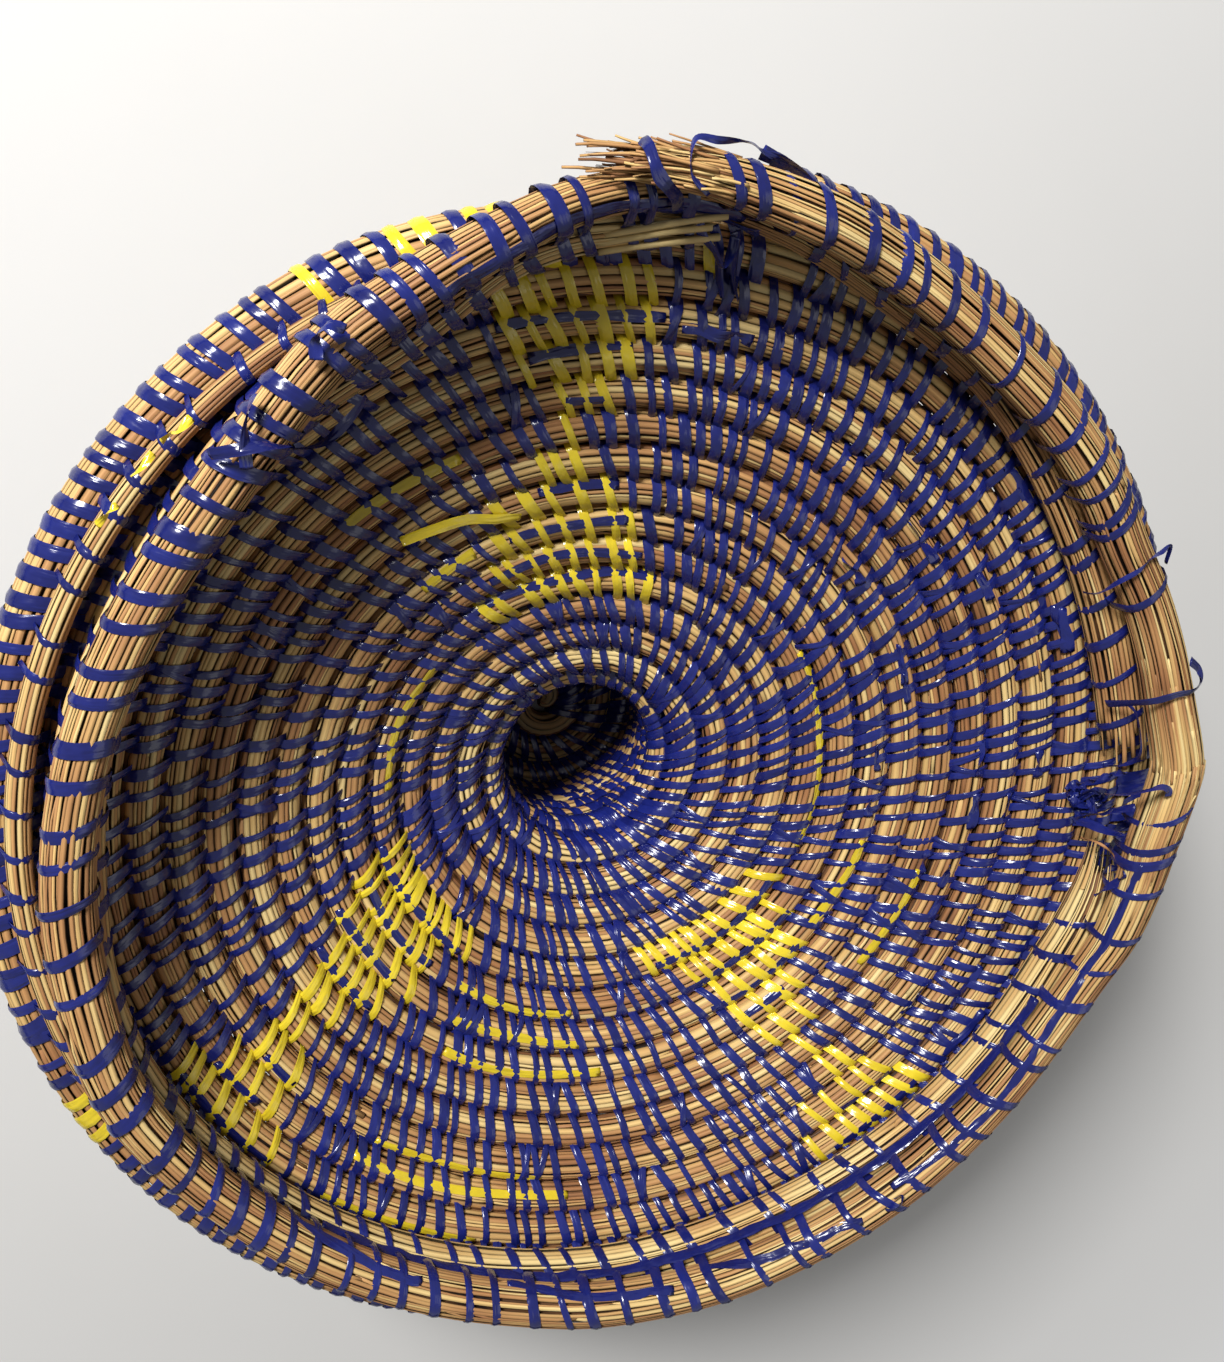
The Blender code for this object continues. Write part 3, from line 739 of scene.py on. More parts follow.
@dataclass
class CoiledWall:
    """Foot, stem, lip and funnel: one bundle in a spiral, sewn row to row."""

    wall: Wall = Wall()
    bundle_radius: float = 5.24 * MM
    loop_radius: float = 5.62 * MM
    yellow_width: float = 3.1 * MM
    wear: float = 0.8 * MM
    bite_depth: float = 3.3 * MM
    spacing_turns: tuple[float, ...] = (0.0, 3.0, 8.0, 10.8, 12.8, 16.8, 20.8, 23.0)
    spacings: tuple[float, ...] = (4.2, 4.8, 4.8, 4.9, 5.7, 6.7, 6.5, 6.8)
    slants: tuple[float, ...] = (0.30, 0.35, 0.42, 0.45, 0.40, 0.32, 0.28, 0.26)
    jog: float = 1.4 * MM
    row_step: float = 10.6 * MM
    first_stitch: float = 0.7
    crowded: float = 0.58
    sparse: float = 1.48
    crossed_share: float = 0.06
    crossed_slant: float = -0.15
    crossed_width: float = 2.2 * MM
    crossed_lift: float = 0.25 * MM
    carried_width: float = 2.8 * MM
    motifs: tuple[Motif, ...] = (
        Motif(99.0, -0.5, (10, 8, 7, 5, 3, 1, 3, 5, 7, 7)),
        Motif(210.0, 0.4, (10, 8, 6, 5, 3, 2, 3, 4, 7)),
        Motif(306.5, 0.0, (10, 8, 6, 4, 3, 1, 2, 5, 8)),
    )
    parts: tuple[tuple[str, str, float, float], ...] = (
        ("foot", "foot_coil", -0.5, 2.98),
        ("stem", "stem_coil", 2.98, 8.35),
        ("funnel_inner", "funnel_inner_coil", 8.35, 16.0),
        ("funnel_outer", "funnel_outer_coil", 16.0, 23.0),
    )

    def stitch_turns(self, rng: Rng) -> Array:
        """Turns of the winding at each stitch.

        A stitch stands over the one a turn before it, shifted by the slant less the jog. Where two would be too
        far apart one more goes between them, and where they would crowd one is left out.
        """
        spots = [self.first_stitch]
        older = 0
        start_radius = float(self.wall.rows(np.array([1.0]))[0][0])
        table = np.arange(0, 24, 0.05)
        radii = self.wall.rows(table)[0]
        spacing = np.interp(table, self.spacing_turns, self.spacings) * MM / (TURN * radii)
        shift = (np.interp(table, self.spacing_turns, self.slants) * self.row_step - self.jog) / (TURN * radii)
        while spots[-1] < self.first_stitch + 1:
            spots.append(spots[-1] + self.spacings[0] * MM / (TURN * start_radius))
        while spots[-1] < self.wall.turns - 0.02:
            last = spots[-1]
            step = float(np.interp(last, table, spacing))
            wanted = spots[older] + 1 + float(np.interp(last, table, shift)) + rng.normal(0, 0.09) * step
            gap = wanted - last
            if gap < self.crowded * step:
                older += 1
            elif gap > self.sparse * step:
                spots.append(last + gap / round(gap / step + 0.1) * rng.uniform(0.93, 1.07))
            else:
                spots.append(wanted)
                older += 1
        return np.array(spots)

    def yellow(self, turns: Array) -> NDArray[np.bool_]:
        """True for each stitch that belongs to a motif: on every row, the ones nearest to its middle."""
        chosen = np.zeros(len(turns), dtype=bool)
        for motif in self.motifs:
            for middle, count in motif.turns(self.wall):
                chosen[np.argsort(abs(turns - middle))[:count]] = True
        return chosen

    def loops(self, turns: Array, rng: Rng) -> Loops:
        """Stitches at counts of turns."""
        middle, face, out, forward = self.wall.frames(turns)
        slant = float(np.mean(np.interp(turns, self.spacing_turns, self.slants)))
        radius = self.loop_radius + rng.normal(0, 0.08 * MM, len(turns))
        depth = self.bite_depth + rng.normal(0, 0.25 * MM, len(turns))
        return Loops(middle, face, -out, forward, radius, depth, slant=slant)

    def build(self, finishes: Finishes, rng: Rng) -> None:
        """Makes the grass and the stitches of foot, stem and funnel."""
        turns = self.stitch_turns(rng)
        yellow = self.yellow(turns)
        doubled = np.sort(rng.choice(np.flatnonzero(~yellow), int(self.crossed_share * len(turns)), replace=False))
        extra = turns[doubled] + rng.normal(0, 0.0012, len(doubled))
        for name, node, start, end in self.parts:
            path = self.wall.path(start, end, self.bundle_radius)
            # The groove setting paints shade where rows meet, and the dark core tube paints the shade inside the
            # bundle.
            grass = Skin.joined([Stems(unevenness=0.11 * MM, groove=0.75).skin(path, rng), shade_core(path, 0.76)])
            grass = grass.worn(self.wear) if name == "foot" else grass
            grass.piece(name + "_grass", Slot.GRASS, finishes, node)
            here = (turns >= start) & (turns < end) & ~yellow
            skins = [self.loops(turns[here], rng).skin(rng)]
            crossing = extra[(extra >= start) & (extra < end)]
            if len(crossing):
                crossed = self.loops(crossing, rng)
                crossed.slant, crossed.width = self.crossed_slant, self.crossed_width
                crossed.radius += self.crossed_lift
                skins.append(crossed.skin(rng))
            stitches = Skin.joined(skins)
            stitches = stitches.worn(self.wear) if name == "foot" else stitches
            stitches.piece(name + "_blue_stitches", Slot.BLUE, finishes)
        stitches = replace(self.loops(turns[yellow], rng), width=self.yellow_width)
        stitches.skin(rng).piece("yellow_stitches", Slot.YELLOW, finishes)

    def strip_on_row(self, row: float, start: float, end: float, side: float) -> Ribbon:
        """Strip carried along a row under the stitches.

        Args:
            row: The row, counted from the inmost yellow one.
            start: Angle round the basket where it starts, in degrees.
            end: Where it ends.
            side: Angle from the row's face towards its outer side, in degrees.

        Returns:
            The strip.
        """
        turns = self.wall.yellow_row_turn + row + np.arange(start, end + 1.0, 2.0) / 360
        middle, face, out, _ = self.wall.frames(turns)
        up = around(face, out, np.radians(side + 7 * np.sin(turns * 60.0)))
        return Ribbon(middle + (self.bundle_radius + 0.16 * MM) * up, up, self.carried_width)


@dataclass
class EdgeCoil:
    """The thicker coil that goes on from the funnel's last row, round the edge."""

    wall: Wall = Wall()
    diameter: float = 15.4 * MM
    gap: float = 0.5 * MM
    ramp: float = 0.11
    span: tuple[float, float] = (-0.003, 0.998)
    spacing: float = 6.3 * MM
    width: float = 3.7 * MM
    yellow_width: float = 4.2 * MM
    loop_lift: float = 0.38 * MM
    bite_depth: float = 4.0 * MM
    yellow_angles: tuple[float, ...] = (84.0, 98.5, 101.0, 103.5, 106.0, 108.5, 118.0, 200.5, 203.0, 205.5)

    def line(self, share: Array) -> tuple[Array, Array]:
        """Middle and radius after shares of its one turn.

        It lies against the row a turn before it, at the sum of both radii and a gap. Its slope
        fades from the funnel's to level while it thickens.
        """
        coil = self.wall.coil_radius
        turns = self.wall.turns + share
        radius, height, _ = self.wall.rows(turns - 1)
        ease = eased(np.clip(share / self.ramp, 0, 1))
        thick = coil + (self.diameter / 2 - coil) * ease
        reach = coil + thick + self.gap
        slope = self.wall.slope * (1 - ease)
        return polar(radius + reach * np.cos(slope), self.wall.angle(turns), height + reach * np.sin(slope)), thick

    def path(self) -> Path:
        """Its middle line with directions."""
        middle, thick = self.line(np.linspace(*self.span, 360))
        return Path.level(middle, thick + 0.15 * MM)

    def build(self, finishes: Finishes, rng: Rng) -> None:
        """Makes its grass and its stitches, which bite into the row inside it."""
        path = self.path()
        stems = Stems(slots=27, brown=0.6, unevenness=0.12 * MM, ragged=(0.2, 2.5))
        grass = Skin.joined([stems.skin(path, rng), shade_core(path, 0.72, last=2.5)])
        grass.piece("edge_grass", Slot.GRASS, finishes, "edge_coil")
        count = int(path.travelled[-1] / self.spacing)
        place = jittered(count, 0.13, rng) / count * path.travelled[-1]
        middle, face, out, radius, _ = path.after(place)
        share = np.interp(place, path.travelled, np.linspace(*self.span, len(path.travelled)))
        forward = np.cross(face, out)
        bite = self.wall.frames(self.wall.turns + share - 1)[0] - middle
        bite = unit(bite - dot(bite, forward) * forward)
        side = np.cross(bite, forward)
        side = side * np.sign(dot(side, face))
        depth = np.full(count, self.bite_depth)
        loops = Loops(middle, side, bite, forward, radius + self.loop_lift, depth, steps=20)
        angle = np.degrees(np.arctan2(middle[:, 1], middle[:, 0])) % 360
        yellow = np.zeros(count, dtype=bool)
        for wanted in self.yellow_angles:
            yellow[np.argmin(abs(angle - wanted))] = True
        loops.some(~yellow, self.width).skin(rng).piece("edge_blue_stitches", Slot.BLUE, finishes)
        loops.some(yellow, self.yellow_width).skin(rng).piece("edge_yellow_stitches", Slot.YELLOW, finishes)


def hermite(table: Array, places: Array, column: int) -> Array:
    """A table's column at places, by cubics whose slopes are the slopes between their neighbours."""
    knots, values = table[:, 0], table[:, column]
    before = np.maximum(np.arange(len(knots)) - 1, 0)
    after = np.minimum(np.arange(len(knots)) + 1, len(knots) - 1)
    slopes = (values[after] - values[before]) / (knots[after] - knots[before])
    places = np.clip(places, knots[0], knots[-1])
    index = np.clip(np.searchsorted(knots, places) - 1, 0, len(knots) - 2)
    span = knots[index + 1] - knots[index]
    t = (places - knots[index]) / span
    return cubic(t, values[index], values[index + 1], slopes[index] * span, slopes[index + 1] * span)


# The ring's bundles, row by row: angle in degrees, way outwards as a share of the ring's swing,
# thickness as a share of the full one, and level from 0 for the lower to 1 for the upper
MAIN_SHARES = np.array(sorted((
    (364, 1.20, 1.16, 1.0), (356, 0.75, 1.14, 1.0), (350, 0.70, 1.05, 1.0), (344, 0.62, 1.00, 1.0),
    (338, 0.32, 0.95, 1.0), (330, 0.12, 0.95, 1.0), (318, 0.12, 0.95, 1.0), (304, 0.10, 1.02, 1.0),
    (292, 0.14, 1.00, 1.0), (280, 0.15, 1.00, 1.0), (270, 0.02, 1.00, 1.0), (262, -0.06, 1.00, 1.0),
    (254, -0.25, 1.00, 1.0), (244, -0.34, 1.00, 1.0), (232, -0.38, 1.00, 1.0), (220, -0.36, 1.00, 1.0),
    (210, -0.24, 1.00, 1.0), (198, -0.12, 1.04, 1.0), (189, -0.30, 1.04, 1.0), (178, -0.40, 1.04, 1.0),
    (166, -0.56, 1.00, 1.0), (152, -0.70, 1.00, 1.0), (137, -0.68, 1.00, 1.0), (128, -0.34, 1.00, 1.0),
    (119, 0.25, 1.00, 1.0), (110, 0.63, 1.00, 1.0), (103, 1.05, 0.92, 0.98), (98, 1.42, 0.80, 0.88),
    (92, 1.70, 0.72, 0.74), (86, 1.80, 0.74, 0.58), (80, 1.66, 0.88, 0.26), (74, 1.40, 1.00, 0.0),
    (65, 1.00, 1.05, 0.0), (54, 0.75, 1.05, 0.0), (44, 0.46, 1.05, 0.0), (34, 0.25, 1.05, 0.0),
    (22, 0.18, 1.05, 0.0), (12, 0.25, 1.05, 0.0), (3, 0.46, 1.05, 0.0),
)))
END_SHARES = np.array((
    (5.4, 1.20, 1.16, 1.0), (12, 0.92, 1.10, 1.0), (18, 0.80, 1.04, 1.0), (24, 0.68, 1.00, 1.0),
    (31, 0.52, 1.00, 1.0), (38, 0.64, 1.00, 1.0), (46, 0.68, 1.00, 1.0), (54, 0.72, 0.97, 1.0),
    (61, 0.90, 0.96, 1.0), (68, 1.20, 0.96, 1.0), (76, 1.52, 0.95, 1.1), (84, 1.88, 0.85, 1.2),
    (90, 2.16, 0.52, 1.3), (96, 2.40, 0.22, 1.3),
))
LOW_SHARES = np.array((
    (83.5, 0.95, 0.50, 0.0), (90, 0.92, 0.64, 0.0), (98, 0.85, 0.82, 0.0), (103, 0.60, 0.94, 0.0),
    (109, 0.05, 1.00, 0.0), (115, -0.25, 1.00, 0.0), (128, -0.35, 1.00, 0.0), (140, -0.65, 1.00, 0.0),
    (150, -0.65, 1.00, 0.0), (162, -0.50, 1.00, 0.0), (178, -0.45, 1.00, 0.0), (190, -0.18, 1.00, 0.0),
    (202, -0.05, 1.00, 0.0), (216, -0.15, 1.00, 0.0), (232, -0.20, 1.00, 0.0), (250, -0.20, 1.00, 0.0),
    (268, -0.18, 1.00, 0.0), (284, -0.24, 1.00, 0.0), (296, -0.18, 1.00, 0.0), (310, -0.10, 1.00, 0.0),
    (324, -0.02, 1.00, 0.0), (337, 0.10, 1.00, 0.0), (343, 0.30, 0.95, 0.0), (349, 0.45, 0.80, 0.0),
    (354, 0.45, 0.40, 0.0),
))


@dataclass(frozen=True)
class Laid:
    """Strip laid on the ring's long bundle.

    Args:
        way: Its points, each as an angle round the basket and one from the bundle's top towards the axis, in degrees.
        width: Its width in millimetres.
        lift: Its height over the bundle in millimetres.
    """

    way: tuple[tuple[float, float], ...]
    width: float = 3.0
    lift: float = 0.3


RING_CARRIED = (
    Laid(((223, 100), (226, 76), (231, 68), (235, 58), (239, 50), (242, 56))),
    Laid(((252, 96), (255, 90), (259, 72), (264, 62), (267, 58), (270, 60), (273, 52))),
    Laid(((277, 98), (280, 84), (283, 62), (289, 48), (295, 42), (299, 20))),
    Laid(((303, 56), (312, 40), (320, 30), (326, 38), (332, 47), (341, 56), (348, 60), (354, 48)), 2.4),
    Laid(((82, 52), (86, 52), (91, 44), (96, 38), (102, 38), (110, 42)), 3.0),
    Laid(((80, 84), (84, 88), (88, 84), (92, 78)), 4.0),
)


# Three straws, point by point: angle in degrees, distance from the axis and height in millimetres
CUT_STRAWS = (
    ((83.5, 168.8, 153.0), (86.7, 166.9, 153.0), (90.1, 165.0, 152.0), (94.0, 163.6, 150.5)),
    ((84.6, 166.0, 151.6), (87.9, 164.4, 151.6), (91.0, 163.0, 150.8), (94.5, 161.8, 149.5)),
    ((83.6, 164.1, 149.8), (87.1, 162.3, 149.8), (90.6, 161.0, 149.0), (94.3, 160.0, 148.0)),
)


def cut_straws() -> Skin:
    """The three thick straws on top of the low bundle's cut end, as curves through their points."""
    degrees, radius, height = np.moveaxis(np.array(CUT_STRAWS), -1, 0)
    lines = np.stack([smooth_line(line, 3) for line in polar(radius, np.radians(degrees), height) * MM])
    return straws(lines, np.full(lines.shape[:2], 0.95 * MM), np.array([-0.9, -0.7, -0.8]))


@dataclass(frozen=True)
class Tips:
    """Broken or cut stems that stand off a bundle's end.

    Args:
        span: Angles round the basket, in degrees, between which they start.
        sides: Angles round the bundle between which they lie, from its outer side over its top.
        length: Their shortest and longest, in degrees round the basket.
        count: How many.
        tone: Their palest and darkest tone.
    """

    span: tuple[float, float]
    sides: tuple[float, float]
    length: tuple[float, float]
    count: int
    tone: tuple[float, float]


@dataclass
class Ring:
    """The raised ring: a lower level and an upper level of loose-ended bundles on the funnel's last rows."""

    wall: Wall = Wall()
    edge: EdgeCoil = field(default_factory=EdgeCoil)
    inset: float = 8.4 * MM
    swing: float = 10.0 * MM
    low_diameter: float = 14.0 * MM
    top_diameter: float = 13.0 * MM
    gap: float = 0.45 * MM
    swap: tuple[float, float] = (76.0, 90.0)
    strip_angles: tuple[float, float] = (228.0, 334.0)
    # Angle in degrees, then millimetres: the stitches' spacing, and the strip's width
    spacings: tuple[tuple[float, float], ...] = (
        (0, 13), (30, 10), (60, 9), (88, 7), (130, 8), (150, 10), (175, 12), (195, 14), (205, 12),
        (215, 9), (225, 10), (250, 11), (300, 12), (340, 14), (350, 8), (361, 7),
    )
    widths: tuple[tuple[float, float], ...] = (
        (0, 2.7), (60, 2.7), (100, 3.2), (130, 4.2), (170, 3.6), (240, 3.2), (361, 2.8),
    )
    groove_width: float = 3.2 * MM
    loop_lift: float = 0.45 * MM
    top_bite: float = 5.2 * MM
    low_bite: float = 3.6 * MM
    carried: tuple[Laid, ...] = RING_CARRIED
    end_stitches: tuple[float, ...] = (
        25.5, 34.4, 35.9, 38.8, 41.5, 45.7, 49.8, 55.1, 60.0, 63.5, 66.8, 69.2, 72.6, 77.0, 79.7, 82.7, 84.8,
    )
    kink_stitches: tuple[float, ...] = (350.5, 354.4, 356.2, 359.7)
    low_tips: Tips = Tips((83.0, 87.0), (0, 360), (5, 11), 34, (-0.9, 0.2))
    end_tips: Tips = Tips((84.0, 91.5), (-40, 200), (2.5, 6.5), 90, (0.2, 1.4))
    main_tips: Tips = Tips((357.0, 361.0), (0, 80), (2.5, 5.0), 8, (0.0, 0.8))
    bridging: int = 30

    def radius(self, table: Array, degrees: Array) -> Array:
        """Radius of a bundle's middle: the ring's circle, plus the table's share of the swing."""
        return self.wall.funnel_radius - self.inset + self.swing * hermite(table, degrees, 1)

    def seat(self, radius: Array, degrees: Array, thick: Array | float) -> Array:
        """Height at which a bundle clears the rows under it and the edge coil.

        Over each of them it is their height plus the upright side of a right triangle, whose long
        side is the sum of both radii and whose level side is the way between their middles.
        """
        end = TURN * (self.wall.turns - self.wall.yellow_row_turn)
        past = ((np.radians(degrees) - end) % TURN) / TURN

        def over(row_radius: Array, row_height: Array, row_thick: Array | float) -> Array:
            """Height over one row, and 0 where the bundle doesn't reach it."""
            reach, away = thick + row_thick + self.gap, abs(radius - row_radius)
            rise = np.sqrt(np.clip(reach**2 - away**2, 0, None))
            return np.where(away < reach, row_height + rise, 0)

        rows = [self.wall.rows(self.wall.turns + past - back) for back in range(1, 5)]
        heights = [over(row_radius, row_height, self.wall.coil_radius) for row_radius, row_height, _ in rows]
        middle, own = self.edge.line(past)
        return np.max([*heights, over(off_axis(middle), middle[..., 2], own)], axis=0)

    def lower_height(self, degrees: Array) -> Array:
        """Height of the lower level's middle all round."""
        degrees = np.asarray(degrees) % 360
        share = eased(np.clip((degrees - self.swap[0]) / (self.swap[1] - self.swap[0]), 0, 1))
        main = self.radius(MAIN_SHARES, np.minimum(degrees, self.swap[0]))
        radius = main + (self.radius(LOW_SHARES, degrees) - main) * share
        return self.seat(radius, degrees, self.low_diameter / 2)

    def place(self, table: Array, diameter: float, degrees: Array) -> tuple[Array, Array]:
        """Middle and radius of a bundle at angles in degrees."""
        radius = self.radius(table, degrees)
        thick = diameter / 2 * hermite(table, degrees, 2)
        level = np.maximum(hermite(table, degrees, 3), 0)
        seat = self.seat(radius, degrees % 360, thick)
        upper = self.lower_height(degrees) + self.low_diameter / 2 + thick + self.gap
        height = seat + (upper - seat) * np.minimum(level, 1) + self.low_diameter * np.maximum(level - 1, 0)
        return polar(radius, np.radians(degrees), height), thick

    def path(self, table: Array, diameter: float, before: float = 0.0, after: float = 0.0) -> Path:
        """A bundle's middle line with directions, a few degrees longer than its outline at either end."""
        degrees = np.linspace(table[0, 0] - before, table[-1, 0] + after, int((table[-1, 0] - table[0, 0]) * 1.5))
        middle, thick = self.place(table, diameter, degrees)
        middle[:, 2] = blurred(middle[:, 2])
        return Path.level(middle, blurred(thick) + 0.1 * MM)

    def spots(self, start: float, end: float, rng: Rng, factor: float = 1.0) -> Array:
        """Angles of stitches in degrees, at the hand's own spacing, which changes round the ring."""
        fine = np.arange(start, end, 0.1)
        spacing = np.interp(fine, *np.array(self.spacings).T) * MM * factor
        passed = np.cumsum(np.radians(0.1) * (self.wall.funnel_radius - self.inset) / spacing)
        return np.interp(jittered(int(passed[-1]), 0.13, rng), passed, fine)

    def loops(self, table: Array, diameter: float, degrees: Array, bite: Array, depth: float, rng: Rng) -> Loops:
        """Stitches round a bundle at angles in degrees."""
        middle, thick = self.place(table, diameter, degrees)
        outer = outward(np.radians(degrees))
        forward = np.cross(UP, outer)
        bite = unit(bite - dot(bite, forward) * forward)
        side = unit(outer - dot(outer, bite) * bite)
        radius = thick + self.loop_lift + rng.normal(0, 0.1 * MM, len(degrees))
        return Loops(
            middle, side, bite, forward, radius, np.full(len(degrees), depth), slant=0.05, skew=0.36,
            width=np.interp(degrees, *np.array(self.widths).T) * MM, steps=20,
        )

    def laid(self, laid: Laid) -> Ribbon:
        """A strip that lies on the long bundle: its middle, plus its radius and a lift towards the strip's side."""
        places = np.array(laid.way)
        degrees = np.arange(places[0, 0], places[-1, 0] + 0.01, 1.5)
        middle, thick = self.place(MAIN_SHARES, self.top_diameter, degrees)
        up = around(UP, -outward(np.radians(degrees)), np.radians(np.interp(degrees, *places.T)))
        return Ribbon(middle + (thick[:, None] + laid.lift * MM) * up, up, laid.width * MM, crumple=0.12 * MM)

    def groove(self, start: float, end: float) -> Ribbon:
        """The strip in the groove between the ring's two levels, on the inside.

        It stands upright at the height where both bundles bulge equally far, just inside them.
        """
        degrees = np.arange(start, end + 0.01, 1.5)
        low_middle, low = self.place(LOW_SHARES, self.low_diameter, degrees)
        top_middle, top = self.place(MAIN_SHARES, self.top_diameter, degrees)
        height = low_middle[:, 2] + (top_middle[:, 2] - low_middle[:, 2]) * low / (low + top)
        half = self.groove_width / 2
        reach_low = np.sqrt(np.clip(low**2 - (height - half - low_middle[:, 2]) ** 2, 0, None))
        reach_top = np.sqrt(np.clip(top**2 - (top_middle[:, 2] - height - half) ** 2, 0, None))
        radius = np.minimum(off_axis(low_middle) - reach_low, off_axis(top_middle) - reach_top) - 0.5 * MM
        angle = np.radians(degrees)
        up = 0.25 * UP - outward(angle)
        return Ribbon(polar(radius, angle, height), up, self.groove_width, crumple=0.1 * MM)

    def broken(self, table: Array, diameter: float, tips: Tips, rng: Rng) -> Skin:
        """Broken or cut stems at a bundle's end.

        Each keeps its own distance from the bundle's middle line while the bundle thins out, and
        strays from it by the square of the way along.

        Args:
            table: The bundle's outline.
            diameter: Its full thickness.
            tips: Where they stand, and how many.
            rng: The random numbers that it draws from.

        Returns:
            The stems.
        """
        count = tips.count
        share = np.linspace(0, 1, 6)[None, :]
        start = rng.uniform(*tips.span, (count, 1))
        degrees = start + rng.uniform(*tips.length, (count, 1)) * share
        middle, thick = self.place(table, diameter, degrees)
        turn = np.radians(rng.uniform(*tips.sides, (count, 1)))
        reach = np.maximum(thick[:, :1] * rng.uniform(0.75, 1.02, (count, 1)), 0.4 * MM)
        spoke = around(outward(np.radians(degrees)), UP, turn)
        stray = rng.normal(0, 0.9 * MM, (count, 1, 3)) * share[..., None] ** 2
        size = rng.uniform(0.3, 0.6, (count, 1)) * MM * (1 - 0.45 * share)
        return straws(middle + reach[..., None] * spoke + stray, size, rng.uniform(*tips.tone, count))

    def bridge(self, count: int, rng: Rng) -> Skin:
        """Stems that go on unbroken round the inner side of the kink, from the long bundle to the end bundle.

        Each keeps its own angle round both bundles, whose middles are blended over the kink.

        Args:
            count: How many.
            rng: The random numbers that it draws from.

        Returns:
            The stems.
        """
        start, end = rng.uniform(346, 354, (count, 1)), rng.uniform(369, 378, (count, 1))
        degrees = start + (end - start) * np.linspace(0, 1, 20)[None, :]
        first, thick = self.place(MAIN_SHARES, self.top_diameter, np.minimum(degrees, 364.0))
        second, other = self.place(END_SHARES, self.top_diameter, np.maximum(degrees - 360.0, 5.4))
        share = np.clip((degrees - 364.0) / 1.4, 0, 1)
        middle = first * (1 - share[..., None]) + second * share[..., None]
        thick = thick * (1 - share) + other * share
        turn = np.radians(rng.uniform(60, 185, (count, 1)))
        spoke = around(outward(np.radians(degrees)), UP, turn)
        size = rng.uniform(0.4, 0.65, (count, 1)) * MM * np.ones_like(degrees)
        return straws(middle + (thick - 0.42 * MM)[..., None] * spoke, size, rng.uniform(-0.2, 0.75, count))

    def build(self, finishes: Finishes, rng: Rng) -> None:
        """Makes the three bundles, their stitches and the strip in their groove."""
        top, low = self.top_diameter, self.low_diameter
        bundles = (
            ("low", self.path(LOW_SHARES, low), Stems(28, brown=0.3, ragged=(2.5, 1.5), taper=0.3, bleach=0.8)),
            ("main", self.path(MAIN_SHARES, top, 0.0, 1.6), Stems(38, brown=0.68, ragged=(2, 0.3))),
            ("end", self.path(END_SHARES, top, 2.0), Stems(38, brown=0.6, ragged=(0.4, 2.2), taper=0.3)),
        )
        tips = {
            "low": [self.broken(LOW_SHARES, low, self.low_tips, rng), cut_straws()],
            "end": [self.broken(END_SHARES, top, self.end_tips, rng)],
            "main": [self.broken(MAIN_SHARES, top, self.main_tips, rng), self.bridge(self.bridging, rng)],
        }
        for name, path, stems in bundles:
            # The core tube under each bundle's stems is painted shade.
            dark = shade_core(path, 0.72, stems.ragged[0] * 1.2 + 0.4, stems.ragged[1] * 0.8 + 0.4)
            grass = Skin.joined([stems.skin(path, rng), dark, *tips[name]])
            grass.piece(f"ring_{name}_grass", Slot.GRASS, finishes, f"ring_{name}_bundle")

        main_spots = np.concatenate([self.spots(87, 347.5, rng), self.kink_stitches])
        sets = []
        for table, spots in ((END_SHARES, np.array(self.end_stitches)), (MAIN_SHARES, main_spots)):
            middle, _ = self.place(table, top, spots)
            before, under = (
                self.place(share, low, np.clip(spots, first, last))[0]
                for share, first, last in ((MAIN_SHARES, 6, 85), (LOW_SHARES, 90, 351))
            )
            bite = unit(np.where((spots < 85)[:, None], before, under) - middle)
            sets.append(self.loops(table, top, spots, bite, self.top_bite, rng).skin(rng))
        Skin.joined(sets).piece("ring_top_stitches", Slot.BLUE, finishes)

        lower = (
            (MAIN_SHARES, top, self.spots(6, 80, rng, 1.25)),
            (LOW_SHARES, low, main_spots[main_spots < 349] - 1.3),
        )
        lean = self.wall.slope
        sets = []
        for table, diameter, spots in lower:
            bite = math.sin(lean) * outward(np.radians(spots)) - math.cos(lean) * UP
            sets.append(self.loops(table, diameter, spots, bite, self.low_bite, rng).skin(rng))
        Skin.joined(sets).piece("ring_low_stitches", Slot.BLUE, finishes)
        strip = self.groove(*self.strip_angles).skin(rng, 2)
        strip.piece("ring_groove_strip", Slot.BLUE, finishes, "blue_ring_strip")
        strips = [self.laid(laid).skin(rng, 2) for laid in self.carried]
        Skin.joined(strips).piece("ring_carried_strips", Slot.BLUE, finishes)


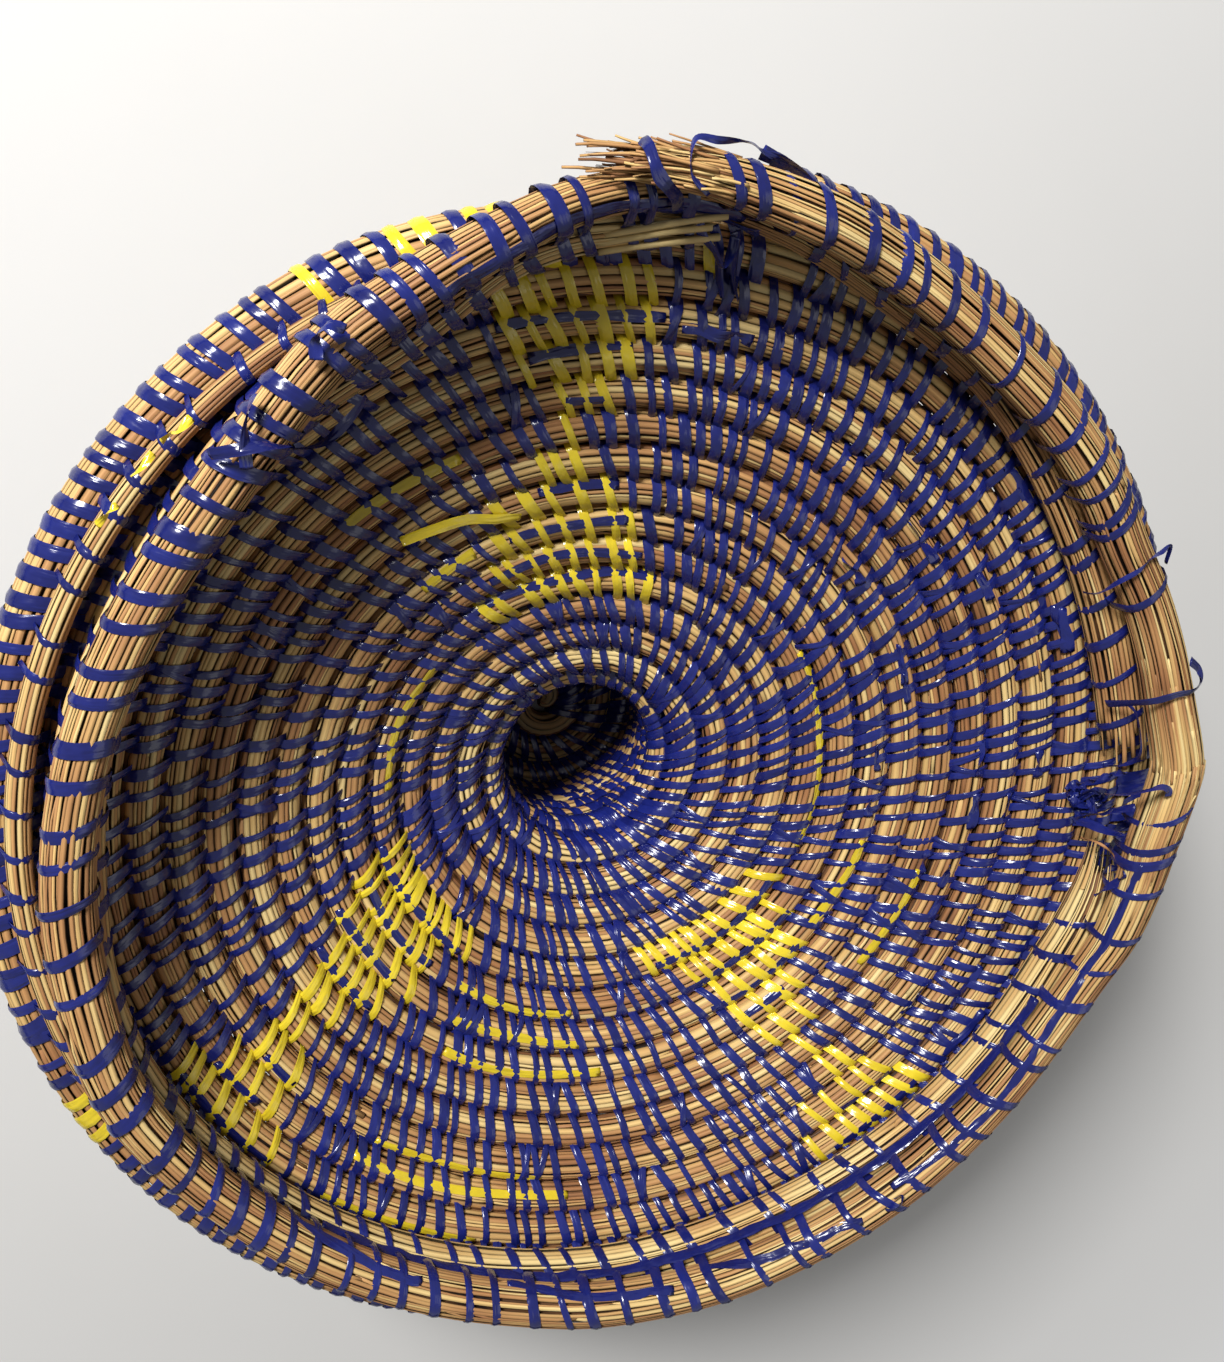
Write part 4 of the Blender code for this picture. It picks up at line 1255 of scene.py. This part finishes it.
@dataclass
class Groove:
    """The thin coil in the groove between the edge and the ring, at the left."""

    edge: EdgeCoil = field(default_factory=EdgeCoil)
    diameter: float = 6.2 * MM
    start: float = 112.0
    end: float = 224.0
    rest: float = math.radians(118.0)
    gap: float = 0.45 * MM
    spacing: float = 11.5 * MM
    loop_lift: float = 0.15 * MM
    bite_depth: float = 4.0 * MM

    def path(self) -> Path:
        """Its middle line, resting on the edge coil's inner upper side."""
        degrees = np.linspace(self.start, self.end, 190)
        share = (degrees - self.start) / (self.end - self.start)
        base = TURN * (self.edge.wall.turns - self.edge.wall.yellow_row_turn) % TURN
        middle, thick = self.edge.line((np.radians(degrees) - base) / TURN)
        own = self.diameter / 2 * np.minimum(1.0, 0.45 + 0.55 * np.sqrt(np.clip(np.sin(math.pi * share), 0, 1)))
        reach = thick + own + self.gap
        radius = off_axis(middle) + reach * math.cos(self.rest)
        line = polar(radius, np.radians(degrees), middle[:, 2] + reach * math.sin(self.rest))
        return Path.level(line, own + 0.15 * MM)

    def build(self, finishes: Finishes, rng: Rng) -> None:
        """Makes its grass and its stitches."""
        path = self.path()
        skins = [Stems(16, brown=0.8, ragged=(3, 3)).skin(path, rng), shade_core(path, 0.7, 2.4, 2.4)]
        Skin.joined(skins).piece("groove_grass", Slot.GRASS, finishes, "groove_coil")
        count = int(path.travelled[-1] / self.spacing)
        middle, face, out, radius, _ = path.after(jittered(count, 0.15, rng) / count * path.travelled[-1])
        loops = Loops(
            middle, unit(out + 0.8 * face), unit(0.8 * out - face), np.cross(face, out),
            radius + self.loop_lift, np.full(count, self.bite_depth), slant=0.2,
        )
        loops.skin(rng).piece("groove_stitches", Slot.BLUE, finishes)


@dataclass
class CarriedStrips:
    """Strip of the other colour that is carried along the rows under the stitches."""

    wall: CoiledWall
    # Row, counted from the inmost yellow one, then the angles where the strip starts and ends
    yellow_rows: tuple[tuple[float, float, float], ...] = (
        (1, 337, 392), (1, 140, 176), (2, 232, 262), (3, 234, 264), (4, 236, 268),
        (7, 232, 258), (8, 230, 262), (9, 228, 250), (3, 322, 344), (5, 322, 342), (6, 112, 130),
    )
    blue_rows: tuple[tuple[float, float, float], ...] = (
        (1, 74, 124), (2, 80, 116), (3, 85, 110), (4, 88, 103), (7, 91, 98), (8, 89, 101), (9, 86, 104),
        (1, 191, 229), (2, 196, 225), (3, 199, 220), (4, 203, 220), (7, 211, 217), (8, 207, 216), (9, 205, 222),
        (1, 286, 327), (2, 290, 323), (3, 294, 319), (4, 299, 310), (8, 303, 313), (9, 300, 314),
    )

    def build(self, finishes: Finishes, rng: Rng) -> None:
        """Makes the strips of both colours."""
        for colour, slot, rows in (("yellow", Slot.YELLOW, self.yellow_rows), ("blue", Slot.BLUE, self.blue_rows)):
            skins = [
                self.wall.strip_on_row(row, start, end, float(rng.normal(20, 12))).skin(rng, 2)
                for row, start, end in rows
            ]
            nodes = [f"{colour}_carried_strip_{index:02d}" for index in range(1, len(rows) + 1)]
            strips = Skin.joined(skins)
            strips.marks["tone"] *= 0.2
            strips.piece(colour + "_carried_strips", slot, finishes, *nodes)


@dataclass(frozen=True)
class Loose:
    """A loose length of strip or thread.

    Args:
        way: Its points, each as an angle round the basket in degrees, then a distance from its axis and a height
            in millimetres.
        width: Its width in millimetres.
        twist: Turns about its own line.
        crumple: Scatter of its line in millimetres.
    """

    way: tuple[tuple[float, float, float], ...]
    width: float = 2.6
    twist: float = 0.0
    crumple: float = 0.1

    def skin(self, rng: Rng) -> Skin:
        """The length as a ribbon through its points, its flat side up where it isn't twisted."""
        degrees, radius, height = np.array(self.way, dtype=float).T
        angle = np.radians(degrees)
        points, up = polar(radius, angle, height) * MM, UP - 0.3 * outward(angle)
        return Ribbon(points, up, self.width * MM, self.twist, self.crumple * MM).skin(rng, 8)


BLUE_ENDS = (
    Loose((
        (88.3, 169, 158), (89.2, 170.6, 165), (90.3, 172.5, 169.6), (91.2, 174.6, 171.6), (91.7, 177.8, 171.8),
        (91.9, 181, 169.5), (92, 182.6, 166),
    ), 2.8, 0.0, 0.05),
    Loose((
        (129, 152, 163), (127.4, 147.4, 161), (126.7, 145, 158), (124.6, 141.7, 152), (121.8, 142.5, 149),
        (118.5, 144.3, 147),
    ), 2.4, 0.6, 0.2),
    Loose((
        (87, 172, 167), (88.7, 176, 169), (88.2, 183, 167.5), (86.2, 183.2, 166), (83.5, 184, 162), (82, 183.6, 158),
        (80, 183.3, 155), (77.4, 182, 151), (75.5, 179, 149.5),
    ), 1.8, 1.4, 0.15),
    Loose(((82, 183, 157.5), (80, 183, 154.5), (77.6, 181.5, 150.8), (75.5, 178.5, 149.3)), 3.6, 0.2, 0.2),
    Loose((
        (26.5, 150.5, 151), (27, 151, 157), (28.6, 154, 165), (29.2, 159, 168.5), (29.2, 164, 168),
        (28.8, 169, 165.5), (28.2, 173.4, 162), (26.3, 173, 159),
    ), 1.5, 1.2, 0.12),
    Loose((
        (12.5, 150, 153), (13.2, 152.4, 160), (13.9, 155.5, 167.5), (14.2, 161.7, 170), (13.8, 167.6, 169),
        (13.6, 174, 164.5), (14.5, 175.5, 162), (16.2, 171.5, 164),
    ), 2.7, 0.12, 0.05),
    Loose((
        (13.3, 152.5, 158), (11.7, 153.5, 162), (7.7, 155.2, 162), (5.7, 155.3, 159), (4.3, 154.5, 154),
        (4, 151, 150),
    ), 1.2, 1.0, 0.15),
    Loose((
        (0.2, 152, 148), (0.8, 151.5, 153), (2.3, 151, 163), (3.6, 153, 169.5), (3.8, 157, 170), (3.2, 160, 169.6),
        (2.4, 160.4, 169.2),
    ), 2.2, 0.5, 0.1),
    Loose(((1, 146, 144.5), (1.9, 146.6, 149), (3.1, 148.1, 153), (3.8, 151, 156), (4.6, 153, 159.5)), 2.0, 1.6, 0.2),
    Loose(((356, 147, 144.5), (357, 149, 147), (358, 151, 151.5), (359.2, 152, 157), (0.3, 154, 163)), 3.0, 0.3, 0.2),
    Loose(((356, 148, 144.5), (356.2, 149.5, 149), (356.4, 151, 156), (357, 153, 162.5)), 3.0, -0.3, 0.2),
    Loose(((348.5, 152.5, 158), (350, 155, 159), (351, 157, 160.5), (352.3, 155.5, 163)), 2.6, 0.8, 0.25),
    Loose((
        (86, 166.5, 152), (85, 163.8, 150), (83.5, 160.6, 148), (82.5, 158.2, 146.5), (82.2, 161.6, 148.5),
        (82.4, 165, 151),
    ), 2.6, 0.4, 0.2),
    Loose(((84.3, 166.5, 151), (83.2, 162.2, 146.8), (82, 156.5, 141), (81, 151, 138)), 2.6, 0.2, 0.08),
    Loose(((82.3, 166, 151), (81.5, 162, 146.5), (80.4, 156, 140.8), (79.4, 151.3, 138)), 2.6, -0.2, 0.08),
    Loose((
        (301, 155.8, 165.5), (302, 155, 168), (303, 153.8, 168.4), (303.6, 153.2, 166.6), (302.6, 153.4, 165.8),
    ), 1.4, 0.4, 0.05),
    Loose(((270, 153.4, 152.8), (271, 152, 154), (272, 153.6, 154.6), (271.4, 154.6, 153.2)), 1.6, 0.6, 0.1),
    Loose(((117.5, 161, 168.5), (118.6, 163.5, 169), (119.8, 162, 168.6), (121, 159, 168)), 2.8, 0.7, 0.25),
    Loose(((131, 150, 168), (129.5, 154, 169.4), (128, 158, 168.8), (126.4, 160.5, 166.5)), 3.0, 0.3, 0.15),
    Loose(((132.4, 157.5, 166.5), (130.5, 154.5, 169.8), (128.4, 150.5, 168.5), (127, 147.6, 164)), 3.0, -0.3, 0.15),
)
THREAD_ENDS = (
    Loose(((354, 150, 146), (354.4, 152, 152), (353.6, 154.6, 155.5), (352.3, 156.8, 158.5)), 0.9, 1.0, 0.1),
)
YELLOW_ENDS = (
    Loose(((131.5, 165.5, 157), (132.6, 165, 158.2), (133.5, 165.6, 157.4), (134.6, 166, 158.4)), 2.0, 0.5, 0.3),
    Loose(((135.6, 165.6, 157.2), (136.8, 165.2, 158.4), (138, 166, 157.4)), 1.9, 0.4, 0.3),
    Loose(((140.6, 166, 157.4), (141.5, 165.4, 158), (143, 166.2, 157)), 1.6, 0.6, 0.3),
    Loose((
        (106, 93.5, 110.6), (110, 96, 111.8), (115, 99, 113.4), (120, 102, 115.2), (125.3, 105, 117),
    ), 3.0, 0.1, 0.15),
)


@dataclass
class LooseEnds:
    """Every loose end of strip and thread, with the knot under the ring."""

    wall: CoiledWall
    knot_row: float = 10.45
    knot_angle: float = math.radians(-2.0)
    knot_size: float = 1.75 * MM
    knot_lift: float = 3.2 * MM
    knot_strands: tuple[tuple[float, float], ...] = ((0.0, 1.0), (2.1, 0.8), (4.2, 1.25))
    bits: int = 26
    thread_tone: float = 1.15

    def knot(self, rng: Rng) -> Skin:
        """The knot: flat strip along the trefoil curve, which lies on the wall's inner side.

        Across the wall it runs as sin t + 2 sin 2t, along it as cos t - 2 cos 2t, and off it as
        minus sin 3t, times the knot's size. Each strand starts at its own t and grows by its own factor.
        """
        wound = self.wall.wall
        turns = wound.yellow_row_turn + self.knot_row + self.knot_angle / TURN
        radius, height, heading = wound.rows(np.array(turns))
        level = outward(np.array(self.knot_angle))
        middle = radius * level + height * UP
        axes = np.array([around(level, UP, heading), np.cross(UP, level), around(UP, -level, heading)])
        skins = []
        for late, grown in self.knot_strands:
            t = np.linspace(late, late + TURN * 1.02, 40)
            size = self.knot_size * grown
            across, length = size * (np.sin(t) + 2 * np.sin(2 * t)), size * (np.cos(t) - 2 * np.cos(2 * t))
            off = self.wall.bundle_radius + self.knot_lift - size * np.sin(3 * t)
            points = middle + np.stack([across, length, off], -1) @ axes
            up = np.stack([np.cos(3 * t), np.sin(2 * t), 1.2 + 0 * t], -1)
            skins.append(Ribbon(points, up, 2.4 * MM, 1.0, 0.15 * MM).skin(rng, 3))
        return Skin.joined(skins)

    def crumpled(self, rng: Rng) -> Skin:
        """Short crumpled lengths of blue strip that lie along the rows, mostly at the right."""
        skins = []
        for _ in range(self.bits):
            row, start = rng.integers(4, 11), rng.normal(5, 42)
            strip = self.wall.strip_on_row(float(row), start, start + rng.uniform(3, 9), float(rng.normal(25, 25)))
            strip.twist, strip.crumple, strip.width = float(rng.normal(0, 0.3)), 0.22 * MM, rng.uniform(2.4, 3.4) * MM
            strip.points = strip.points + strip.up * 0.35 * MM
            skins.append(strip.skin(rng, 3))
        return Skin.joined(skins)

    def build(self, finishes: Finishes, rng: Rng) -> None:
        """Makes the knot and the loose ends of each colour."""
        self.knot(rng).piece("knot_strands", Slot.BLUE, finishes, "knot_blue")
        blue = Skin.joined([end.skin(rng) for end in BLUE_ENDS])
        blue.piece("blue_loose_ends", Slot.BLUE, finishes)
        self.crumpled(rng).piece("blue_crumpled_bits", Slot.BLUE, finishes)
        thread = Skin.joined([end.skin(rng) for end in THREAD_ENDS])
        thread.marks["tone"][:] = self.thread_tone
        thread.piece("brown_thread", Slot.GRASS, finishes)
        yellow = Skin.joined([end.skin(rng) for end in YELLOW_ENDS])
        yellow.piece("yellow_loose_end", Slot.YELLOW, finishes)
        tail = self.wall.strip_on_row(3, 116, 128, 20.0)
        tail.skin(rng, 2).piece("yellow_tail", Slot.YELLOW, finishes, "yellow_tail_01")


# Finishes


class Sock:
    """A socket of a material's node, with sums that add Math nodes."""

    def __init__(self, nodes: "Nodes", socket: bpy.types.NodeSocket) -> None:
        """Keeps the socket and its node tree."""
        self.nodes = nodes
        self.socket = socket

    def maths(self, operation: str, *values: "Sock | float") -> "Sock":
        """A Math node over sockets and numbers."""
        return self.nodes.make("ShaderNodeMath", {"operation": operation}, dict(enumerate(values)))

    def __add__(self, other: "Sock | float") -> "Sock":
        """Sum."""
        return self.maths("ADD", self, other)

    __radd__ = __add__

    def __sub__(self, other: "Sock | float") -> "Sock":
        """Difference."""
        return self.maths("SUBTRACT", self, other)

    def __rsub__(self, other: "Sock | float") -> "Sock":
        """Difference, from a number."""
        return self.maths("SUBTRACT", other, self)

    def __mul__(self, other: "Sock | float") -> "Sock":
        """Product."""
        return self.maths("MULTIPLY", self, other)

    __rmul__ = __mul__

    def clamped(self) -> "Sock":
        """Held between 0 and 1."""
        return self.maths("MINIMUM", self.maths("MAXIMUM", self, 0.0), 1.0)


class Nodes:
    """A material's node tree, with one method that makes any node."""

    def __init__(self, name: str, among: "bpy.types.bpy_prop_collection | None" = None) -> None:
        """Makes the material, or the world where it is made among worlds, and clears its tree."""
        self.material = (bpy.data.materials if among is None else among).new(name)
        self.material.use_nodes = True
        self.tree = self.material.node_tree
        self.tree.nodes.clear()

    def make(self, kind: str, settings: dict, inputs: dict, output: int | str = 0) -> Sock:
        """Makes a node.

        Args:
            kind: The node's type.
            settings: Its properties, set first; a ramp's stops come as "stops".
            inputs: Values or sockets for its inputs, by name or number.
            output: The output that is wanted.

        Returns:
            That output.
        """
        node = self.tree.nodes.new(kind)
        for key, value in settings.items():
            if key == "stops":
                ramp = node.color_ramp
                while len(ramp.elements) < len(value):
                    ramp.elements.new(0.5)
                for element, (place, colour) in zip(ramp.elements, value):
                    element.position = place
                    element.color = (*colour, 1.0)
            else:
                setattr(node, key, value)
        for key, value in inputs.items():
            if isinstance(value, Sock):
                self.tree.links.new(value.socket, node.inputs[key])
            else:
                node.inputs[key].default_value = value
        return Sock(self, node.outputs[output]) if node.outputs else Sock(self, node.inputs[0])

    def mark(self, name: str) -> Sock:
        """A number kept at each point of the mesh."""
        return self.make("ShaderNodeAttribute", {"attribute_type": "GEOMETRY", "attribute_name": name}, {}, "Fac")

    def noise(self, vector: Sock, scale: float, detail: float = 2.0) -> Sock:
        """Smooth noise about a half."""
        return self.make("ShaderNodeTexNoise", {}, {"Vector": vector, "Scale": scale, "Detail": detail}, "Fac")

    def place(self) -> Sock:
        """The point's place on the object."""
        return self.make("ShaderNodeTexCoord", {}, {}, "Object")

    def vector(self, x: "Sock | float", y: "Sock | float", z: "Sock | float") -> Sock:
        """Three numbers as a vector."""
        return self.make("ShaderNodeCombineXYZ", {}, {"X": x, "Y": y, "Z": z})

    def ramp(self, value: Sock, *stops: tuple[float, Colour]) -> Sock:
        """A colour for each value."""
        return self.make("ShaderNodeValToRGB", {"stops": stops}, {"Fac": value}, "Color")

    def mixed(self, share: "Sock | float", a: "Sock | tuple", b: "Sock | tuple", kind: str = "MIX") -> Sock:
        """Two colours mixed."""
        first, second = (value if isinstance(value, Sock) else (*value, 1.0) for value in (a, b))
        settings = {"data_type": "RGBA", "blend_type": kind}
        return self.make("ShaderNodeMix", settings, {0: share, 6: first, 7: second}, 2)

    def bump(self, height: Sock, strength: float, distance: float) -> Sock:
        """Normals bent by a height."""
        return self.make("ShaderNodeBump", {}, {"Height": height, "Strength": strength, "Distance": distance}, "Normal")

    def surface(self, **inputs: "Sock | float | tuple") -> bpy.types.Material:
        """Ends the tree in a Principled shader. Underscores in the names stand for spaces."""
        named = {key.replace("_", " "): value for key, value in inputs.items()}
        shader = self.make("ShaderNodeBsdfPrincipled", {}, named)
        self.make("ShaderNodeOutputMaterial", {}, {"Surface": shader})
        return self.material


@dataclass(frozen=True)
class Grass:
    """Dry grass stems: straw to reddish brown by stem, with fine streaks, and painted shade on their flanks, in the
    grooves and on the core tubes.
    """

    pale: Colour = (0.86, 0.65, 0.29)
    straw: Colour = (0.74, 0.48, 0.18)
    tan: Colour = (0.56, 0.30, 0.115)
    brown: Colour = (0.37, 0.165, 0.065)
    # The darkest stop is painted shade: the core tubes and the deepest grooves reach it.
    dark: Colour = (0.016, 0.007, 0.004)

    def material(self) -> bpy.types.Material:
        """The finish as a material."""
        nodes = Nodes("grass")
        tone, across, length = nodes.mark("tone"), nodes.mark("across"), nodes.mark("along")
        edge = nodes.mark("edge")
        streaks = nodes.noise(nodes.vector(across * 2.8, length * 24.0, tone * 31.0), 1.0, 3.0)
        patches = nodes.noise(nodes.vector(across * 0.4, length * 60.0, tone * 17.0), 1.0, 2.0)
        stretches = nodes.noise(nodes.place(), 30.0, 1.0)
        # The tone mark holds each stem's own tone plus painted shade from the grooves and the core tubes.
        mixed = tone * 0.8 + (streaks - 0.5) * 0.5 + (patches - 0.5) * 0.3 + (stretches - 0.5) * 1.1 + 0.1
        colour = nodes.ramp(
            mixed * 0.55,
            (0.02, self.pale), (0.2, self.straw), (0.38, self.tan), (0.55, self.brown), (0.8, self.dark),
        )
        # Painted shade: each stem darker towards its flanks and inner side, by the edge mark.
        shade = (1.0 - edge * 0.95).clamped()
        colour = nodes.mixed(1.0, colour, nodes.vector(shade, shade, shade), "MULTIPLY")
        bump = nodes.bump(streaks, 0.5, 0.25 * MM)
        return nodes.surface(Base_Color=colour, Roughness=streaks * 0.25 + 0.5, Specular_IOR_Level=0.35, Normal=bump)


@dataclass(frozen=True)
class Strip:
    """Flat plastic strip, glossy and slightly crumpled."""

    name: str
    deep: Colour
    light: Colour

    def material(self) -> bpy.types.Material:
        """The finish as a material."""
        nodes = Nodes(self.name)
        place, tone = nodes.place(), nodes.mark("tone")
        crumple = nodes.noise(place, 320.0, 1.5)
        lengthwise = nodes.vector(nodes.mark("across") * 1.1, nodes.mark("along") * 110.0, tone * 40.0)
        folds = nodes.noise(lengthwise, 1.0, 1.5)
        colour = nodes.mixed((tone * 0.5 + crumple * 0.6 - 0.05).clamped(), self.deep, self.light)
        bump = nodes.bump(folds + crumple * 0.5, 0.8, 0.6 * MM)
        return nodes.surface(Base_Color=colour, Roughness=crumple * 0.2 + 0.1, Specular_IOR_Level=0.5, Normal=bump)


# Studio


@dataclass(frozen=True)
class Studio:
    """Floor, lamps and the camera at the photograph's angle."""

    floor_colour: Colour = (0.72, 0.71, 0.69)
    sky: float = 0.11
    backdrop: float = 0.88
    glossy_share: float = 0.4
    floor_half: float = 6.0
    fade_start: float = 0.3
    fade_rate: float = 1.2
    aim: tuple[float, float, float] = (0.0, 0.0, 0.12)
    lamps: tuple[tuple[str, tuple[float, float, float], float, float], ...] = (
        ("key", (-0.62, 0.92, 0.98), 0.35, 30.0),
        ("fill", (0.9, -0.5, 1.2), 0.9, 2.2),
    )
    camera_place: tuple[float, float, float] = (-0.09094, 0.150, 0.45766)
    camera_tilt: tuple[float, float, float] = (math.radians(-20.0), math.radians(-14.9), 0.0)
    focal_pixels: float = 1226.0
    lens_middle: tuple[float, float] = (612.0, 740.0)

    def floor(self) -> None:
        """A wide floor under the basket's foot, in a plain pale finish with the faintest grain.

        Away from the basket it fades into the backdrop: the share is the distance past the start, times the rate.
        """
        nodes = Nodes("floor")
        grain = nodes.noise(nodes.place(), 40.0, 4.0)
        colour = nodes.mixed(grain * 0.2, self.floor_colour, tuple(c * 0.93 for c in self.floor_colour))
        away = nodes.make("ShaderNodeVectorMath", {"operation": "LENGTH"}, {0: nodes.place()}, "Value")
        fade = ((away - self.fade_start) * self.fade_rate).clamped()
        black = (0.0, 0.0, 0.0)
        seen = nodes.make("ShaderNodeLightPath", {}, {}, "Is Camera Ray")
        glow = nodes.mixed(fade * seen, black, (self.backdrop,) * 3)
        colour = nodes.mixed(fade, colour, black)
        material = nodes.surface(
            Base_Color=colour, Roughness=0.9, Specular_IOR_Level=0.0, Emission_Color=glow, Emission_Strength=1.0
        )
        size = self.floor_half
        mesh = bpy.data.meshes.new("floor")
        mesh.from_pydata([(-size, -size, 0), (size, -size, 0), (size, size, 0), (-size, size, 0)], [], [(0, 1, 2, 3)])
        mesh.materials.append(material)
        made = bpy.data.objects.new("floor", mesh)
        bpy.context.scene.collection.objects.link(made)

    def lamp(self, name: str, place: tuple[float, float, float], size: float, power: float) -> None:
        """A square area lamp that looks at the basket."""
        data = bpy.data.lights.new(name, "AREA")
        data.size, data.energy = size, power
        made = bpy.data.objects.new(name, data)
        made.location = place
        aim = np.array(self.aim) - np.array(place)
        tilt = math.acos(-aim[2] / float(np.linalg.norm(aim)))
        made.rotation_euler = (tilt, 0.0, math.atan2(aim[1], aim[0]) - math.pi / 2)
        bpy.context.scene.collection.objects.link(made)

    def camera(self) -> None:
        """The camera: its lens is the focal length over the frame's long side, its shift moves the lens's middle."""
        data = bpy.data.cameras.new("camera")
        data.sensor_width = 36.0
        data.lens = 36.0 * self.focal_pixels / PHOTO_HEIGHT
        data.shift_x = (PHOTO_WIDTH / 2 - self.lens_middle[0]) / PHOTO_HEIGHT
        data.shift_y = (self.lens_middle[1] - PHOTO_HEIGHT / 2) / PHOTO_HEIGHT
        data.clip_start, data.clip_end = 0.02, 20.0
        made = bpy.data.objects.new("camera", data)
        made.location = self.camera_place
        made.rotation_euler = self.camera_tilt
        bpy.context.scene.collection.objects.link(made)
        bpy.context.scene.camera = made

    def build(self) -> None:
        """Makes floor, light and camera."""
        nodes = Nodes("studio", bpy.data.worlds)
        camera, glossy, through = (
            nodes.make("ShaderNodeLightPath", {}, {}, f"Is {name} Ray") for name in ("Camera", "Glossy", "Transmission")
        )
        seen = (camera + glossy * self.glossy_share + through).clamped()
        strength = seen * (self.backdrop - self.sky) + self.sky
        sky = nodes.make("ShaderNodeBackground", {}, {"Color": (1.0, 0.99, 0.97, 1.0), "Strength": strength})
        nodes.make("ShaderNodeOutputWorld", {}, {"Surface": sky})
        bpy.context.scene.world = nodes.material
        bpy.context.scene.view_settings.view_transform = "Standard"
        self.floor()
        for lamp in self.lamps:
            self.lamp(*lamp)
        self.camera()


def main() -> None:
    """Builds and dresses the basket, piece by piece, and lights it."""
    logging.basicConfig(level=logging.INFO, format="%(message)s")
    rng = np.random.default_rng(SEED)
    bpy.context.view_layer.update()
    finishes = {
        Slot.GRASS: Grass().material(),
        Slot.BLUE: Strip("blue_strip", (0.005, 0.007, 0.072), (0.013, 0.022, 0.19)).material(),
        Slot.YELLOW: Strip("yellow_strip", (0.60, 0.44, 0.016), (0.86, 0.67, 0.035)).material(),
    }
    wall = CoiledWall()
    wall.build(finishes, rng)
    EdgeCoil().build(finishes, rng)
    Ring().build(finishes, rng)
    Groove().build(finishes, rng)
    CarriedStrips(wall).build(finishes, rng)
    LooseEnds(wall).build(finishes, rng)
    Studio().build()
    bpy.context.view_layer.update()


if __name__ == "__main__":
    main()
